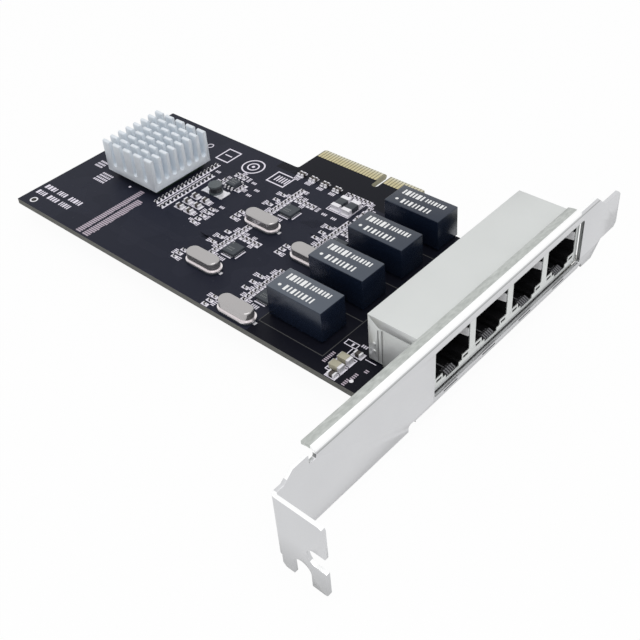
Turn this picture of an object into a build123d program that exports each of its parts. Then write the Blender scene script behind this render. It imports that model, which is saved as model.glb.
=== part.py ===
from build123d import *
import os

# A four-port network interface card that lies flat, component side up.
# +X points out of the ports, +Y runs along the mounting bracket to its tail, +Z is up.
# The origin is at the bottom centre of the whole card. Lengths are in millimetres.

# Mounting bracket
bracket_length = 120.02
bracket_height = 18.42
sheet = 0.86
bend_inside = 0.3
tab_length = 11.43
tab_drop = 3.17
tab_step = 2.12
slot_width = 4.42
side_slot_inset = 9.11
side_slot_above_board = 2.2
end_slot_inset = 5.35
end_slot_above_floor = 3.26
tail_width = 10.19
tail_length = 7.27
tail_above_board = 0.55
tail_slope = 4.6
flange_reach = 3.6
flange_lip = 1.4
flange_lip_dip = 0.3
top_flange_start = 11.3
top_flange_from_tail = 18.52
bottom_flange_inset = 3.4
bottom_flange_rise = 0.6
relief_width = 2.4
ear_radius = 2.8
ear_arm_width = 3.8
window_edge_gap = 0.3
window_sill_drop = 0.75
window_head = 11.5
slit_height = 0.35
slit_length = 4.8
slit_shift = 1.9

# Circuit board
board_reach = 134.0
board_thickness = 1.57
board_width = 56.9
board_from_tail = 26.42
board_above_bracket_edge = 3.65
board_to_bracket = 0.64
tongue_depth = 12.0
long_tongue = 21.65
short_tongue = 11.65
key_width = 1.9
key_depth = 7.0
key_from_face = 59.25
tongue_bevel = 0.5
contact_pitch = 1.0
contact_width = 0.7
contact_length = 3.7
contact_thickness = 0.06
lobe_margin = 1.45
lobe_behind_jack = 8.4

# Jack with four ports
port_count = 4
port_pitch = 13.97
port_width = 11.9
port_top = 10.5
port_shelf = 2.7
port_step = 1.3
port_floor = 0.4
step_width = 6.9
notch_width = 4.6
end_strip = 1.3
jack_height = 12.8
jack_depth = 16.6
jack_from_tail = 45.17
jack_gap = 0.1
jack_stand = 0.3
apron_drop = 0.45
shield_sheet = 0.25
housing_depth = 13.4
cavity_depth = 12.0
fit = 0.05
wire_pitch = 1.02
wire_width = 0.4
wire_thickness = 0.3
wire_drop = 2.2
wire_spring_length = 7.0
wires_per_port = 8
earth_spring_length = 4.6
earth_spring_width = 2.2
earth_spring_above_board = 6.2
earth_spring_bulge = 0.55
earth_spring_thickness = 0.2
peg_width = 1.6
peg_past_board = 0.8

# Transformers between the jack and the interface chips
transformer_length = 16.5
transformer_width = 8.2
transformer_top = 8.7
transformer_stand = 0.3
transformer_behind_jack = 10.9
transformer_shift = 5.95
transformer_pin_pitch = 1.27
transformer_pins_per_row = 12
transformer_pin_inset = 1.1
transformer_pin_radius = 0.25
pin_hole_margin = 0.12
pin_past_board = 1.1

# Main chip and its heatsink
heatsink_size = 20.0
heatsink_margin = 11.9
heatsink_edge = 22.95
heatsink_height = 9.4
heatsink_base = 2.0
fin_count = 8
fin_thickness = 1.1
cross_cuts = 4
cross_cut_width = 1.5
chip_size = 17.0
ball_height = 0.35
ball_radius = 0.25
ball_pitch = 1.0
ball_rows = 15
substrate_thickness = 0.45
chip_cover_thickness = 0.85
pad_thickness = 0.35

# Crystals and interface chips
crystal_length = 10.3
crystal_width = 3.9
crystal_height = 3.2
crystal_rim = 0.4
crystal_rim_thickness = 0.35
crystal_base_thickness = 0.4
crystal_terminal_length = 4.0
crystal_terminal_width = 0.9
terminal_thickness = 0.12
column_behind_transformer = 6.1
column_pitch = 19.6
interface_chip_size = 4.1
interface_chip_height = 0.85
interface_chip_ahead = 8.3
chip_terminals_per_side = 7
chip_terminal_pitch = 0.5

# Screws that hold the board on the bracket's ears
screw_radius = 1.25
screw_head_radius = 2.7
screw_head_height = 1.7
screw_clearance = 0.35
screw_tip = 0.5
ear_boss_radius = 2.4

# Choke, memory chip and small parts
choke_radius = 1.9
choke_height = 2.5
choke_flange = 0.5
lead_pitch = 1.27
lead_width = 0.45
lead_thickness = 0.2
memory_length = 3.1
memory_width = 3.0
memory_height = 1.1
small_length = 1.0
small_width = 0.5
small_height = 0.5
coupling_size = (1.6, 0.8, 0.8)
bulk_size = (3.2, 2.5, 1.4)
filter_size = (2.0, 1.25, 0.9)
supply_size = (5.2, 2.7, 1.3)

# Places that follow from the driving sizes
face_x = (board_reach - tab_length) / 2
start_y = -bracket_length / 2
end_y = bracket_length / 2
face_bottom = tab_drop
board_top = face_bottom + board_above_bracket_edge
board_bottom = board_top - board_thickness
face_top = face_bottom + bracket_height
tab_top = face_top - tab_step
bend_outside = sheet + bend_inside
inner_face_x = face_x - sheet
flange_bottom = face_bottom + bottom_flange_rise
far_x = face_x - board_reach
near_x = inner_face_x - board_to_bracket
edge_y = end_y - board_from_tail
low_y = edge_y - board_width
tip_y = edge_y + tongue_depth
key_x = face_x - key_from_face
long_x = key_x - key_width / 2 - long_tongue
short_x = key_x + key_width / 2 + short_tongue
jack_y = end_y - jack_from_tail
jack_width = port_pitch * (port_count - 1) + port_width + 2 * end_strip
jack_front = inner_face_x - jack_gap
jack_back = jack_front - jack_depth
jack_end_y = jack_y + jack_width / 2
housing_front = jack_front - shield_sheet
housing_back = housing_front - housing_depth
port_ys = [jack_y + (index - (port_count - 1) / 2) * port_pitch for index in range(port_count)]
ceiling_z = board_top + port_top
wire_x = (housing_back + jack_back + shield_sheet) / 2
wire_run_z = ceiling_z + wire_thickness / 2
wire_front = housing_front - 1.6
top_flange_start_y = start_y + top_flange_start
top_flange_end = end_y - top_flange_from_tail
bottom_flange_start = low_y + bottom_flange_inset
ear_x = [jack_front - 6.5, jack_back - 4.0]
ear_y = [bottom_flange_start + ear_radius, port_ys[-1] - port_pitch / 2]
peg_xs = [jack_front - 4.5, jack_front - 12.0]
window_width = jack_width + 2 * window_edge_gap
window_bottom = board_top - window_sill_drop
window_top = board_top + window_head
bottom_flange_end = jack_end_y - fit
transformer_x = jack_back - transformer_behind_jack - transformer_length / 2
transformer_back = transformer_x - transformer_length / 2
transformer_ys = [y - transformer_shift for y in port_ys]
pin_row_span = transformer_width - 2 * transformer_pin_inset
heatsink_x = far_x + heatsink_margin + heatsink_size / 2
heatsink_y = low_y + heatsink_edge + heatsink_size / 2
heatsink_near = heatsink_x + heatsink_size / 2
near_column = transformer_back - column_behind_transformer
far_column = near_column - column_pitch
crystal_places = [
    (far_column, low_y + 31.4),
    (far_column, low_y + 10.9),
    (near_column, low_y + 2.9),
    (near_column, low_y + 27.6),
]
chip_places = [(x + 1.8, y + interface_chip_ahead) for x, y in crystal_places]
chip_gap = far_column - heatsink_near
choke_place = (heatsink_near + 0.335 * chip_gap, low_y + 34.8)
memory_place = (heatsink_near + 0.383 * chip_gap, low_y + 40.0)
tooling_holes = [(far_x + 4.2, low_y + 2.4, 0.75), (jack_back + 1.4, low_y + 2.3, 0.45)]

os.makedirs("parts", exist_ok=True)


def save(piece, name):
    piece.part.label = name
    export_step(piece.part, f"parts/{name}.step")


# Outline of the board, seen from above, with the connector tongue and the lobe under the jack.
def board_outline():
    lobe_x = jack_back - lobe_behind_jack
    lobe_y = jack_end_y + lobe_margin
    Polygon(
        (far_x, low_y),
        (near_x, low_y),
        (near_x, lobe_y),
        (lobe_x, lobe_y),
        (lobe_x, edge_y),
        (short_x, edge_y),
        (short_x, tip_y),
        (long_x, tip_y),
        (long_x, edge_y),
        (far_x, edge_y),
        align=None,
    )
    corners = vertices()
    chamfer(corners.filter_by_position(Axis.Y, tip_y - fit, tip_y + fit), length=2 * tongue_bevel)
    inner = vertices().filter_by_position(Axis.Y, edge_y - fit, edge_y + fit)
    fillet(inner.filter_by_position(Axis.X, long_x - fit, short_x + fit), radius=0.8)
    key_end = tip_y - key_depth + key_width / 2
    with Locations((key_x, key_end)):
        Circle(key_width / 2, mode=Mode.SUBTRACT)
    with Locations((key_x, key_end + key_depth / 2)):
        Rectangle(key_width, key_depth, mode=Mode.SUBTRACT)


# Two rows of round pins under a transformer, or with a margin their holes in the board.
def transformer_pins(margin, mode):
    with GridLocations(transformer_pin_pitch, pin_row_span, transformer_pins_per_row, 2):
        Circle(transformer_pin_radius + margin, mode=mode)


# Drilled holes for the screws, pins, contact wires and shield pegs, and the tooling holes.
def board_holes():
    for x, y, radius in tooling_holes:
        with Locations((x, y)):
            Circle(radius, mode=Mode.SUBTRACT)
    with Locations(*zip(ear_x, ear_y)):
        Circle(screw_radius + screw_clearance, mode=Mode.SUBTRACT)
    for y in port_ys:
        with Locations((wire_x, y)):
            with GridLocations(0, wire_pitch, 1, wires_per_port):
                Circle(wire_width / 2 + pin_hole_margin, mode=Mode.SUBTRACT)
    for y in transformer_ys:
        with Locations((transformer_x, y)):
            transformer_pins(pin_hole_margin, Mode.SUBTRACT)
    for x in peg_xs:
        for side in (-1, 1):
            with Locations((x, jack_y + side * (jack_width - shield_sheet) / 2)):
                Rectangle(peg_width + 0.4, shield_sheet + 0.4, mode=Mode.SUBTRACT)


with BuildPart() as circuit_board:
    with BuildSketch(Plane.XY.offset(board_bottom)):
        board_outline()
        board_holes()
    extrude(amount=board_thickness)
    tip_edges = circuit_board.edges().filter_by(Axis.X).group_by(Axis.Y)[-1]
    chamfer(tip_edges, length=tongue_bevel)
save(circuit_board, "circuit_board")


# Gold contacts on one side of the tongue, on both sides of the key.
def edge_contacts(z):
    middle_y = tip_y - 1.2 * tongue_bevel - contact_length / 2
    for from_x, to_x in ((long_x, key_x - key_width / 2), (key_x + key_width / 2, short_x)):
        count = int((to_x - from_x) / contact_pitch)
        with BuildSketch(Plane.XY.offset(z)) as pads:
            with Locations(((from_x + to_x) / 2, middle_y)):
                with GridLocations(contact_pitch, 0, count, 1):
                    Rectangle(contact_width, contact_length)
        extrude(pads.sketch, amount=contact_thickness)


with BuildPart() as edge_contacts_top:
    edge_contacts(board_top)
save(edge_contacts_top, "edge_contacts_top")

with BuildPart() as edge_contacts_bottom:
    edge_contacts(board_bottom - contact_thickness)
save(edge_contacts_bottom, "edge_contacts_bottom")


# Outline of the bracket's face in the YZ plane, with its chamfers, shoulders and tail.
def face_outline():
    top_bend = face_top - bend_outside
    bottom_bend = flange_bottom + bend_outside
    tail_bottom = board_top + tail_above_board
    tail_top = tail_bottom + tail_width
    tail_y = end_y - tail_length
    relief_end = bottom_flange_end + 0.6 * relief_width
    side_z = flange_bottom + 0.15
    Polygon(
        (start_y + bend_outside, face_bottom),
        (bottom_flange_start, face_bottom),
        (bottom_flange_start, bottom_bend),
        (relief_end, bottom_bend),
        (relief_end, side_z),
        (tail_y - 0.8 * tail_slope, side_z),
        (tail_y, tail_bottom),
        (end_y, tail_bottom),
        (end_y, tail_top),
        (tail_y, tail_top),
        (tail_y - tail_slope, face_top),
        (top_flange_end, face_top),
        (top_flange_end, top_bend),
        (top_flange_start_y, top_bend),
        (top_flange_start_y, face_top),
        (start_y + 5.5, face_top),
        (start_y + 2.85, tab_top),
        (start_y + bend_outside, tab_top),
        align=None,
    )
    chamfer(vertices().filter_by_position(Axis.X, end_y - fit, end_y + fit), length=1.0)
    shoulders = vertices().filter_by_position(Axis.X, tail_y - fit, tail_y + fit)
    fillet(shoulders, radius=0.8)


# Window for the jack, the slits below it and the reliefs beside the two flanges.
def face_openings():
    window_z = (window_bottom + window_top) / 2
    with Locations((jack_y, window_z)):
        RectangleRounded(window_width, window_top - window_bottom, 0.7, mode=Mode.SUBTRACT)
    for y in port_ys:
        with Locations((y - slit_shift, window_bottom - 0.55)):
            Rectangle(slit_length, slit_height, mode=Mode.SUBTRACT)
    relief_y = bottom_flange_start - relief_width / 2
    with Locations((relief_y, flange_bottom - bend_outside)):
        RectangleRounded(relief_width, 4 * bend_outside, 0.8, mode=Mode.SUBTRACT)
    with Locations((top_flange_start_y - 0.4 * relief_width, face_top)):
        RectangleRounded(0.8 * relief_width, 4 * bend_outside, 0.5, mode=Mode.SUBTRACT)


# Sheet that leaves the face through a round bend and runs inward, above or below the board.
def folded_flange(y_from, length, outer_z, side, lip_dip):
    bend_x = face_x - bend_outside
    bend_z = outer_z - side * bend_outside
    flat_x = face_x - flange_reach + flange_lip
    tip_x = face_x - flange_reach
    dip = side * lip_dip
    inner_z = outer_z - side * sheet
    with BuildSketch(Plane.XZ.offset(-(y_from + length))) as section:
        with BuildLine():
            CenterArc((bend_x, bend_z), bend_outside, 0, side * 90)
            Polyline(
                (bend_x, outer_z),
                (flat_x, outer_z),
                (tip_x, outer_z - dip),
                (tip_x, inner_z - dip),
                (flat_x, inner_z),
                (bend_x, inner_z),
            )
            CenterArc((bend_x, bend_z), bend_inside, 0, side * 90)
            Line((inner_face_x, bend_z), (face_x, bend_z))
        make_face()
    extrude(section.sketch, amount=length)


# Screw tab folded outward, with one slot open to its outer edge and one open to its lower edge.
def screw_tab():
    root_x = face_x + bend_inside
    end_x = face_x + tab_length
    with BuildSketch(Plane.XZ.offset(-(start_y + sheet))) as tab:
        with Locations(((root_x + end_x) / 2, tab_top / 2)):
            Rectangle(end_x - root_x, tab_top)
        fillet(tab.vertices().group_by(Axis.X)[-1], radius=0.9)
        chamfer(tab.vertices().group_by(Axis.X)[0].sort_by(Axis.Y)[0], length=0.8)
        with Locations((face_x + side_slot_inset, board_top + side_slot_above_board)):
            Circle(slot_width / 2, mode=Mode.SUBTRACT)
            Rectangle(tab_length, slot_width, align=(Align.MIN, Align.CENTER), mode=Mode.SUBTRACT)
        with Locations((face_x + end_slot_inset, end_slot_above_floor)):
            Circle(slot_width / 2, mode=Mode.SUBTRACT)
            Rectangle(slot_width, tab_top, align=(Align.CENTER, Align.MAX), mode=Mode.SUBTRACT)
    extrude(tab.sketch, amount=sheet)
    with BuildSketch(Plane.XY.offset(face_bottom)) as bend:
        centre = (root_x, start_y + bend_outside)
        with BuildLine():
            CenterArc(centre, bend_outside, 180, 90)
            Line((root_x, start_y), (root_x, start_y + sheet))
            CenterArc(centre, bend_inside, 180, 90)
            Line((face_x, start_y + bend_outside), (inner_face_x, start_y + bend_outside))
        make_face()
    extrude(bend.sketch, amount=tab_top - face_bottom)


# Ear of the bottom flange with a raised boss that the board sits on.
def ear(x, y, width):
    with BuildSketch(Plane.XY.offset(flange_bottom)) as plate:
        with Locations((x, y)):
            Circle(ear_radius)
            Rectangle(face_x - bend_outside - x, width, align=(Align.MIN, Align.CENTER))
    extrude(plate.sketch, amount=sheet)
    with BuildSketch(Plane.XY.offset(flange_bottom + sheet)) as boss:
        with Locations((x, y)):
            Circle(ear_boss_radius)
    extrude(boss.sketch, amount=board_bottom - flange_bottom - sheet)
    with BuildSketch(Plane.XY.offset(flange_bottom)) as hole:
        with Locations((x, y)):
            Circle(screw_radius + fit)
    extrude(hole.sketch, amount=board_bottom - flange_bottom, mode=Mode.SUBTRACT)


with BuildPart() as bracket:
    with BuildSketch(Plane.YZ.offset(face_x)):
        face_outline()
        face_openings()
    extrude(amount=-sheet)
    folded_flange(top_flange_start_y, top_flange_end - top_flange_start_y, face_top, 1, flange_lip_dip)
    folded_flange(bottom_flange_start, bottom_flange_end - bottom_flange_start, flange_bottom, -1, 0)
    screw_tab()
    ear(ear_x[0], ear_y[0], 2 * ear_radius)
    ear(ear_x[1], ear_y[1], ear_arm_width)
save(bracket, "bracket")


# Pan head screw that goes down through the board into an ear.
def pan_screw(x, y):
    with BuildSketch(Plane.XY.offset(board_top)) as head:
        with Locations((x, y)):
            Circle(screw_head_radius)
    extrude(head.sketch, amount=screw_head_height)
    fillet(edges().filter_by(GeomType.CIRCLE).group_by(Axis.Z)[-1], radius=0.6 * screw_head_height)
    with BuildSketch(Plane.XY.offset(board_top + screw_head_height)) as recess:
        with Locations((x, y)):
            Rectangle(screw_head_radius, 0.6)
            Rectangle(0.6, screw_head_radius)
    extrude(recess.sketch, amount=-0.5 * screw_head_height, mode=Mode.SUBTRACT)
    with BuildSketch(Plane.XY.offset(board_top)) as shank:
        with Locations((x, y)):
            Circle(screw_radius)
    extrude(shank.sketch, amount=flange_bottom - screw_tip - board_top)


for index, (x, y) in enumerate(zip(ear_x, ear_y), start=1):
    with BuildPart() as bracket_screw:
        pan_screw(x, y)
    save(bracket_screw, f"bracket_screw_{index}")


# Stepped outline of one port, wide for the plug and narrow at the bottom for its latch.
def port_outline(y):
    Polygon(
        (y - port_width / 2, ceiling_z),
        (y - port_width / 2, board_top + port_shelf),
        (y - step_width / 2, board_top + port_shelf),
        (y - step_width / 2, board_top + port_step),
        (y - notch_width / 2, board_top + port_step),
        (y - notch_width / 2, board_top + port_floor),
        (y + notch_width / 2, board_top + port_floor),
        (y + notch_width / 2, board_top + port_step),
        (y + step_width / 2, board_top + port_step),
        (y + step_width / 2, board_top + port_shelf),
        (y + port_width / 2, board_top + port_shelf),
        (y + port_width / 2, ceiling_z),
        align=None,
    )


# Grooves in the ceiling of each port that carry the contact wires back through the rear wall.
def wire_grooves():
    for y in port_ys:
        with BuildSketch(Plane.XY.offset(ceiling_z)) as grooves:
            with Locations((wire_front + 0.4, y)):
                with GridLocations(0, wire_pitch, 1, wires_per_port):
                    Rectangle(jack_depth, wire_width + 4 * fit, align=(Align.MAX, Align.CENTER))
        extrude(grooves.sketch, amount=1.5 * wire_thickness + 2 * fit, mode=Mode.SUBTRACT)


with BuildPart() as jack_housing:
    housing_width = jack_width - 2 * (shield_sheet + fit)
    housing_bottom = board_top + jack_stand
    housing_top = board_top + jack_height - shield_sheet - fit
    with BuildSketch(Plane.YZ.offset(housing_front - fit)):
        with Locations((jack_y, (housing_bottom + housing_top) / 2)):
            Rectangle(housing_width, housing_top - housing_bottom)
    extrude(amount=fit - housing_depth)
    with BuildSketch(Plane.YZ.offset(housing_front)):
        for y in port_ys:
            port_outline(y)
    extrude(amount=-cavity_depth, mode=Mode.SUBTRACT)
    wire_grooves()
save(jack_housing, "jack_housing")


# Shallow line pressed into a side of the shield, where its flaps meet.
def flap_seams(side):
    fold_x = jack_back + 2.7
    fold_z = board_top + 0.8 * jack_height
    top_z = board_top + jack_height - 2 * shield_sheet
    side_plane = Plane.XZ.offset(-(jack_y + side * jack_width / 2))
    with BuildSketch(side_plane) as seams:
        with BuildLine():
            Polyline(
                (jack_back + shield_sheet, top_z),
                (fold_x, fold_z),
                (jack_front - 2 * shield_sheet, fold_z),
            )
            Line((fold_x + 0.6, fold_z), (fold_x + 0.6, board_top + 2 * jack_stand))
        trace(line_width=0.2)
    extrude(seams.sketch, amount=side * 0.5 * shield_sheet, mode=Mode.SUBTRACT)
    with BuildSketch(side_plane) as dimples:
        for height in (0.24, 0.4):
            with Locations((jack_back + 1.5, board_top + height * jack_height)):
                Circle(0.5)
    extrude(dimples.sketch, amount=-side * 0.5 * shield_sheet, taper=20)


with BuildPart() as jack_shield:
    shield_bottom = board_top + jack_stand
    shield_top = board_top + jack_height
    with BuildSketch(Plane.XY.offset(shield_bottom)):
        with Locations(((jack_front + jack_back) / 2, jack_y)):
            Rectangle(jack_depth, jack_width)
    extrude(amount=shield_top - shield_bottom)
    with BuildSketch(Plane.XY.offset(shield_bottom)):
        with Locations(((jack_front + jack_back) / 2, jack_y)):
            Rectangle(jack_depth - 2 * shield_sheet, jack_width - 2 * shield_sheet)
    extrude(amount=shield_top - shield_bottom - shield_sheet, mode=Mode.SUBTRACT)
    with BuildSketch(Plane.YZ.offset(jack_front)):
        with Locations((jack_y, shield_bottom)):
            Rectangle(jack_width, jack_stand + apron_drop, align=(Align.CENTER, Align.MAX))
    extrude(amount=-shield_sheet)
    with BuildSketch(Plane.YZ.offset(jack_front)):
        for y in port_ys:
            port_outline(y)
            for side in (-1, 1):
                with Locations((y + side * (port_width + step_width) / 4, board_top + port_shelf - 0.9)):
                    Rectangle(1.8, 0.7)
    extrude(amount=-shield_sheet, mode=Mode.SUBTRACT)
    flap_seams(-1)
    flap_seams(1)
    with BuildSketch(Plane.XY.offset(shield_bottom)):
        for x in peg_xs:
            for side in (-1, 1):
                with Locations((x, jack_y + side * (jack_width - shield_sheet) / 2)):
                    Rectangle(peg_width, shield_sheet)
    extrude(amount=board_bottom - peg_past_board - shield_bottom)
save(jack_shield, "jack_shield")


# Contact wires: a sloped spring in the port, a run along the ceiling and a pin through the board.
with BuildPart() as contact_wires:
    wire_ys = [y + (step - (wires_per_port - 1) / 2) * wire_pitch for y in port_ys
               for step in range(wires_per_port)]
    with BuildSketch(*[Plane.XZ.offset(wire_width / 2 - y) for y in wire_ys]):
        with BuildLine():
            FilletPolyline(
                (wire_front - wire_spring_length, ceiling_z - wire_drop),
                (wire_front, wire_run_z),
                (wire_x, wire_run_z),
                (wire_x, board_bottom - pin_past_board),
                radius=0.35,
            )
        trace(line_width=wire_thickness)
    extrude(amount=-wire_width)
save(contact_wires, "contact_wires")


# Earth springs bent in from the shield's front: one on each side of a port and one on its floor.
def earth_springs(y):
    bend_x = housing_front - 0.7 * earth_spring_length
    tip_x = housing_front - earth_spring_length
    for side in (-1, 1):
        wall_y = y + side * (port_width - earth_spring_thickness) / 2
        with BuildSketch(Plane.XY.offset(board_top + earth_spring_above_board)) as side_spring:
            with BuildLine():
                Polyline(
                    (housing_front - fit, wall_y),
                    (bend_x, wall_y - side * earth_spring_bulge),
                    (tip_x, wall_y - side * 0.3 * earth_spring_bulge),
                )
            trace(line_width=earth_spring_thickness)
        extrude(side_spring.sketch, amount=earth_spring_width)
    floor_width = 1.2 * earth_spring_width
    with BuildSketch(Plane.XZ.offset(-(y + floor_width / 2))) as floor_spring:
        floor_z = board_top + port_floor + earth_spring_thickness / 2
        with BuildLine():
            Polyline(
                (housing_front - fit, floor_z),
                (bend_x, floor_z + earth_spring_bulge),
                (tip_x, floor_z + 0.3 * earth_spring_bulge),
            )
        trace(line_width=earth_spring_thickness)
    extrude(floor_spring.sketch, amount=floor_width)


with BuildPart() as jack_earth_springs:
    for y in port_ys:
        earth_springs(y)
save(jack_earth_springs, "jack_earth_springs")


# Gull-wing lead beside a moulded body: shoulder, drop and foot, in the YZ plane.
def lead_outline(body_y, side, shoulder_z, reach):
    knee = 0.45 * reach
    Polygon(
        (body_y, shoulder_z),
        (body_y + side * (knee + lead_thickness), shoulder_z),
        (body_y + side * (knee + lead_thickness), board_top + lead_thickness),
        (body_y + side * reach, board_top + lead_thickness),
        (body_y + side * reach, board_top),
        (body_y + side * knee, board_top),
        (body_y + side * knee, shoulder_z - lead_thickness),
        (body_y, shoulder_z - lead_thickness),
        align=None,
    )


# Both rows of leads of a moulded body, side by side along X.
def lead_rows(x, y, body_width, count, shoulder, reach):
    first = x - (count - 1) * lead_pitch / 2 - lead_width / 2
    planes = [Plane.YZ.offset(first + step * lead_pitch) for step in range(count)]
    with BuildSketch(*planes) as leads:
        for side in (-1, 1):
            lead_outline(y + side * body_width / 2, side, board_top + shoulder, reach)
    extrude(leads.sketch, amount=lead_width)


for index, y in enumerate(transformer_ys, start=1):
    with BuildPart() as transformer:
        with BuildSketch(Plane.XY.offset(board_top + transformer_stand)):
            with Locations((transformer_x, y)):
                Rectangle(transformer_length, transformer_width)
        extrude(amount=transformer_top - transformer_stand)
        chamfer(transformer.faces().sort_by(Axis.Z)[-1].edges(), length=0.15)
    save(transformer, f"transformer_{index}")
    with BuildPart() as pins:
        with BuildSketch(Plane.XY.offset(board_bottom - pin_past_board)):
            with Locations((transformer_x, y)):
                transformer_pins(0, Mode.ADD)
        extrude(amount=board_thickness + pin_past_board + transformer_stand)
    save(pins, f"transformer_pins_{index}")


ball_top = board_top + ball_height
substrate_top = ball_top + substrate_thickness
cover_top = substrate_top + chip_cover_thickness
pad_top = cover_top + pad_thickness

with BuildPart() as chip_solder_balls:
    with BuildSketch(Plane.XY.offset(board_top)):
        with Locations((heatsink_x, heatsink_y)):
            for ring in (ball_rows, ball_rows - 2):
                span = (ring - 1) * ball_pitch
                with GridLocations(span, ball_pitch, 2, ring):
                    Circle(ball_radius)
                with GridLocations(ball_pitch, span, ring - 2, 2):
                    Circle(ball_radius)
    extrude(amount=ball_height)
save(chip_solder_balls, "chip_solder_balls")

with BuildPart() as main_chip_substrate:
    with BuildSketch(Plane.XY.offset(ball_top)):
        with Locations((heatsink_x, heatsink_y)):
            Rectangle(chip_size, chip_size)
    extrude(amount=substrate_thickness)
save(main_chip_substrate, "main_chip_substrate")

with BuildPart() as main_chip_cover:
    with BuildSketch(Plane.XY.offset(substrate_top)):
        with Locations((heatsink_x, heatsink_y)):
            Rectangle(0.9 * chip_size, 0.9 * chip_size)
    extrude(amount=chip_cover_thickness)
save(main_chip_cover, "main_chip_cover")

with BuildPart() as thermal_pad:
    with BuildSketch(Plane.XY.offset(cover_top)):
        with Locations((heatsink_x, heatsink_y)):
            Rectangle(0.85 * chip_size, 0.85 * chip_size)
    extrude(amount=pad_thickness)
save(thermal_pad, "thermal_pad")

with BuildPart() as heatsink:
    fin_pitch = (heatsink_size - fin_thickness) / (fin_count - 1)
    groove_width = fin_pitch - fin_thickness
    groove_bottom = pad_top + heatsink_base
    with BuildSketch(Plane.YZ.offset(heatsink_x - heatsink_size / 2)):
        with Locations((heatsink_y, pad_top + heatsink_height / 2)):
            Rectangle(heatsink_size, heatsink_height)
        with Locations((heatsink_y, groove_bottom + groove_width / 2)):
            with GridLocations(fin_pitch, 0, fin_count - 1, 1):
                Circle(groove_width / 2, mode=Mode.SUBTRACT)
                open_top = (Align.CENTER, Align.MIN)
                Rectangle(groove_width, heatsink_height, align=open_top, mode=Mode.SUBTRACT)
        tips = vertices().group_by(Axis.Y)[-1]
        fillet(tips, radius=0.4 * fin_thickness)
    extrude(amount=heatsink_size)
    segment = (heatsink_size - cross_cuts * cross_cut_width) / (cross_cuts + 1)
    with BuildSketch(Plane.XZ.offset(-(heatsink_y + heatsink_size / 2))):
        with Locations((heatsink_x, groove_bottom + cross_cut_width / 2)):
            with GridLocations(segment + cross_cut_width, 0, cross_cuts, 1):
                Circle(cross_cut_width / 2)
                Rectangle(cross_cut_width, heatsink_height, align=open_top)
    extrude(amount=heatsink_size, mode=Mode.SUBTRACT)
save(heatsink, "heatsink")


# Oblong outline of a crystal's can, grown by a margin all round.
def crystal_outline(x, y, margin):
    with Locations((x, y)):
        SlotOverall(crystal_length + 2 * margin, crystal_width + 2 * margin)


for index, (x, y) in enumerate(crystal_places, start=1):
    base_top = board_top + terminal_thickness + crystal_base_thickness
    with BuildPart() as crystal_can:
        with BuildSketch(Plane.XY.offset(base_top)):
            crystal_outline(x, y, 0)
        extrude(amount=crystal_height - base_top + board_top)
        fillet(crystal_can.faces().sort_by(Axis.Z)[-1].edges(), radius=0.45)
        with BuildSketch(Plane.XY.offset(base_top)):
            crystal_outline(x, y, crystal_rim)
        extrude(amount=crystal_rim_thickness)
    save(crystal_can, f"crystal_can_{index}")

with BuildPart() as crystal_bases:
    with BuildSketch(Plane.XY.offset(board_top + terminal_thickness)):
        for x, y in crystal_places:
            crystal_outline(x, y, crystal_rim)
    extrude(amount=crystal_base_thickness)
save(crystal_bases, "crystal_bases")

with BuildPart() as crystal_terminals:
    with BuildSketch(Plane.XY.offset(board_top)):
        with Locations(*crystal_places):
            with GridLocations(crystal_length - crystal_terminal_length / 2, 0, 2, 1):
                Rectangle(crystal_terminal_length, crystal_terminal_width)
    extrude(amount=terminal_thickness)
save(crystal_terminals, "crystal_terminals")

for index, (x, y) in enumerate(chip_places, start=1):
    with BuildPart() as interface_chip:
        with BuildSketch(Plane.XY.offset(board_top + terminal_thickness)):
            with Locations((x, y)):
                Rectangle(interface_chip_size, interface_chip_size)
        extrude(amount=interface_chip_height)
        chamfer(interface_chip.faces().sort_by(Axis.Z)[-1].edges(), length=0.08)
    save(interface_chip, f"interface_chip_{index}")

with BuildPart() as interface_chip_terminals:
    row_span = interface_chip_size - 0.4
    with BuildSketch(Plane.XY.offset(board_top)):
        with Locations(*chip_places):
            Rectangle(0.6 * interface_chip_size, 0.6 * interface_chip_size)
            with GridLocations(chip_terminal_pitch, row_span, chip_terminals_per_side, 2):
                Rectangle(0.28, 0.6)
            with GridLocations(row_span, chip_terminal_pitch, 2, chip_terminals_per_side):
                Rectangle(0.6, 0.28)
    extrude(amount=terminal_thickness)
save(interface_chip_terminals, "interface_chip_terminals")

with BuildPart() as choke_core:
    with BuildSketch(Plane.XY.offset(board_top + terminal_thickness)):
        with Locations(choke_place):
            Circle(choke_radius)
    extrude(amount=choke_height)
    waist_height = choke_height - 2 * choke_flange
    with BuildSketch(Plane.XY.offset(board_top + terminal_thickness + choke_flange)):
        with Locations(choke_place):
            Circle(choke_radius + fit)
            Circle(0.6 * choke_radius, mode=Mode.SUBTRACT)
    extrude(amount=waist_height, mode=Mode.SUBTRACT)
save(choke_core, "choke_core")

with BuildPart() as choke_winding:
    with BuildSketch(Plane.XY.offset(board_top + terminal_thickness + choke_flange)):
        with Locations(choke_place):
            Circle(0.88 * choke_radius)
            Circle(0.6 * choke_radius, mode=Mode.SUBTRACT)
    extrude(amount=waist_height)
save(choke_winding, "choke_winding")

with BuildPart() as choke_terminals:
    with BuildSketch(Plane.XY.offset(board_top)):
        with Locations(choke_place):
            with GridLocations(2.15 * choke_radius, 0, 2, 1):
                Rectangle(1.8 * choke_radius, 1.8 * choke_radius)
    extrude(amount=terminal_thickness)
save(choke_terminals, "choke_terminals")

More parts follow.
